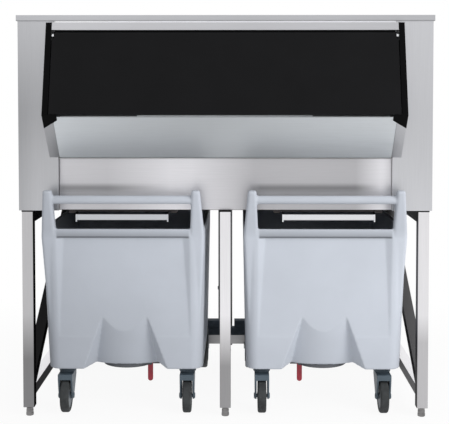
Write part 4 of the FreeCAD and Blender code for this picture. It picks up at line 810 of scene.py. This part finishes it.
def studio_floor():
    """Pale floor that keeps the object's shadow, and that the camera sees turn into white further out."""
    points = [(x * FLOOR_HALF, y * FLOOR_HALF, 0.0) for x, y in ((-1, -1), (1, -1), (1, 1), (-1, 1))]
    mesh = bpy.data.meshes.new("floor")
    mesh.from_pydata(points, [], [(0, 1, 2, 3)])
    material, tree, shader = start_material("floor_white", (0.86, 0.86, 0.86), 0.9, specular=0.0)
    glow = tree.nodes.new("ShaderNodeEmission")
    glow.inputs["Color"].default_value = (1.0, 1.0, 1.0, 1.0)
    beside = combine(tree, "SUBTRACT", distance_from(tree, "X", 0.0), LEG_X)
    before = combine(tree, "SUBTRACT", distance_from(tree, "Y", 0.0), -FRONT_PLANE)
    white = spread(tree, combine(tree, "MAXIMUM", beside, before), FLOOR_WHITE, 1.0, 0.0, FLOOR_FADE)
    mix = tree.nodes.new("ShaderNodeMixShader")
    tree.links.new(product(tree, seen_rays(tree), white), mix.inputs["Fac"])
    tree.links.new(shader.outputs["BSDF"], mix.inputs[1])
    tree.links.new(glow.outputs["Emission"], mix.inputs[2])
    tree.links.new(mix.outputs["Shader"], tree.nodes["Material Output"].inputs["Surface"])
    mesh.materials.append(material)
    floor = bpy.data.objects.new("floor", mesh)
    bpy.context.scene.collection.objects.link(floor)


def studio_world():
    """White to the camera and in reflections, and an even soft light elsewhere."""
    world = bpy.data.worlds.new("studio")
    bpy.context.scene.world = world
    world.use_nodes = True
    tree = world.node_tree
    soft = tree.nodes["Background"]
    soft.inputs["Color"].default_value = (0.97, 0.98, 1.0, 1.0)
    soft.inputs["Strength"].default_value = SOFT_LIGHT
    white = tree.nodes.new("ShaderNodeBackground")
    white.inputs["Color"].default_value = (1.0, 1.0, 1.0, 1.0)
    mix = tree.nodes.new("ShaderNodeMixShader")
    tree.links.new(seen_rays(tree), mix.inputs["Fac"])
    tree.links.new(soft.outputs["Background"], mix.inputs[1])
    tree.links.new(white.outputs["Background"], mix.inputs[2])
    tree.links.new(mix.outputs["Shader"], tree.nodes["World Output"].inputs["Surface"])


def studio_lamp(name, place, target, size, power):
    """Square soft lamp that faces a point, and that the steel does not mirror."""
    lamp = bpy.data.lights.new(name, "AREA")
    lamp.size = size
    lamp.energy = power
    holder = bpy.data.objects.new(name, lamp)
    holder.location = place
    holder.rotation_euler = (Vector(target) - Vector(place)).to_track_quat("-Z", "Y").to_euler()
    holder.visible_glossy = False
    bpy.context.scene.collection.objects.link(holder)


def photo_camera():
    """Camera at the photograph's place, with the lens shift of its framing."""
    data = bpy.data.cameras.new("photo_camera")
    data.sensor_fit = "HORIZONTAL"
    data.sensor_width = SENSOR_WIDTH
    data.lens = FOCAL_PIXELS / IMAGE_WIDTH * SENSOR_WIDTH
    data.shift_x = (IMAGE_WIDTH / 2 - IMAGE_CENTRE[0]) / IMAGE_WIDTH
    data.shift_y = (IMAGE_CENTRE[1] - IMAGE_HEIGHT / 2) / IMAGE_WIDTH
    data.clip_end = 100.0
    camera = bpy.data.objects.new("photo_camera", data)
    camera.location = CAMERA_PLACE
    camera.rotation_euler = (math.pi / 2 - CAMERA_PITCH, 0.0, CAMERA_YAW)
    bpy.context.scene.collection.objects.link(camera)
    bpy.context.scene.camera = camera


dress_nodes()
levelling_feet()
door_seal()
moulded_pieces()
studio_floor()
studio_world()
studio_lamp("key_lamp", KEY_PLACE, KEY_TARGET, KEY_SIZE, KEY_POWER)
photo_camera()

bpy.context.scene.view_settings.view_transform = "Standard"
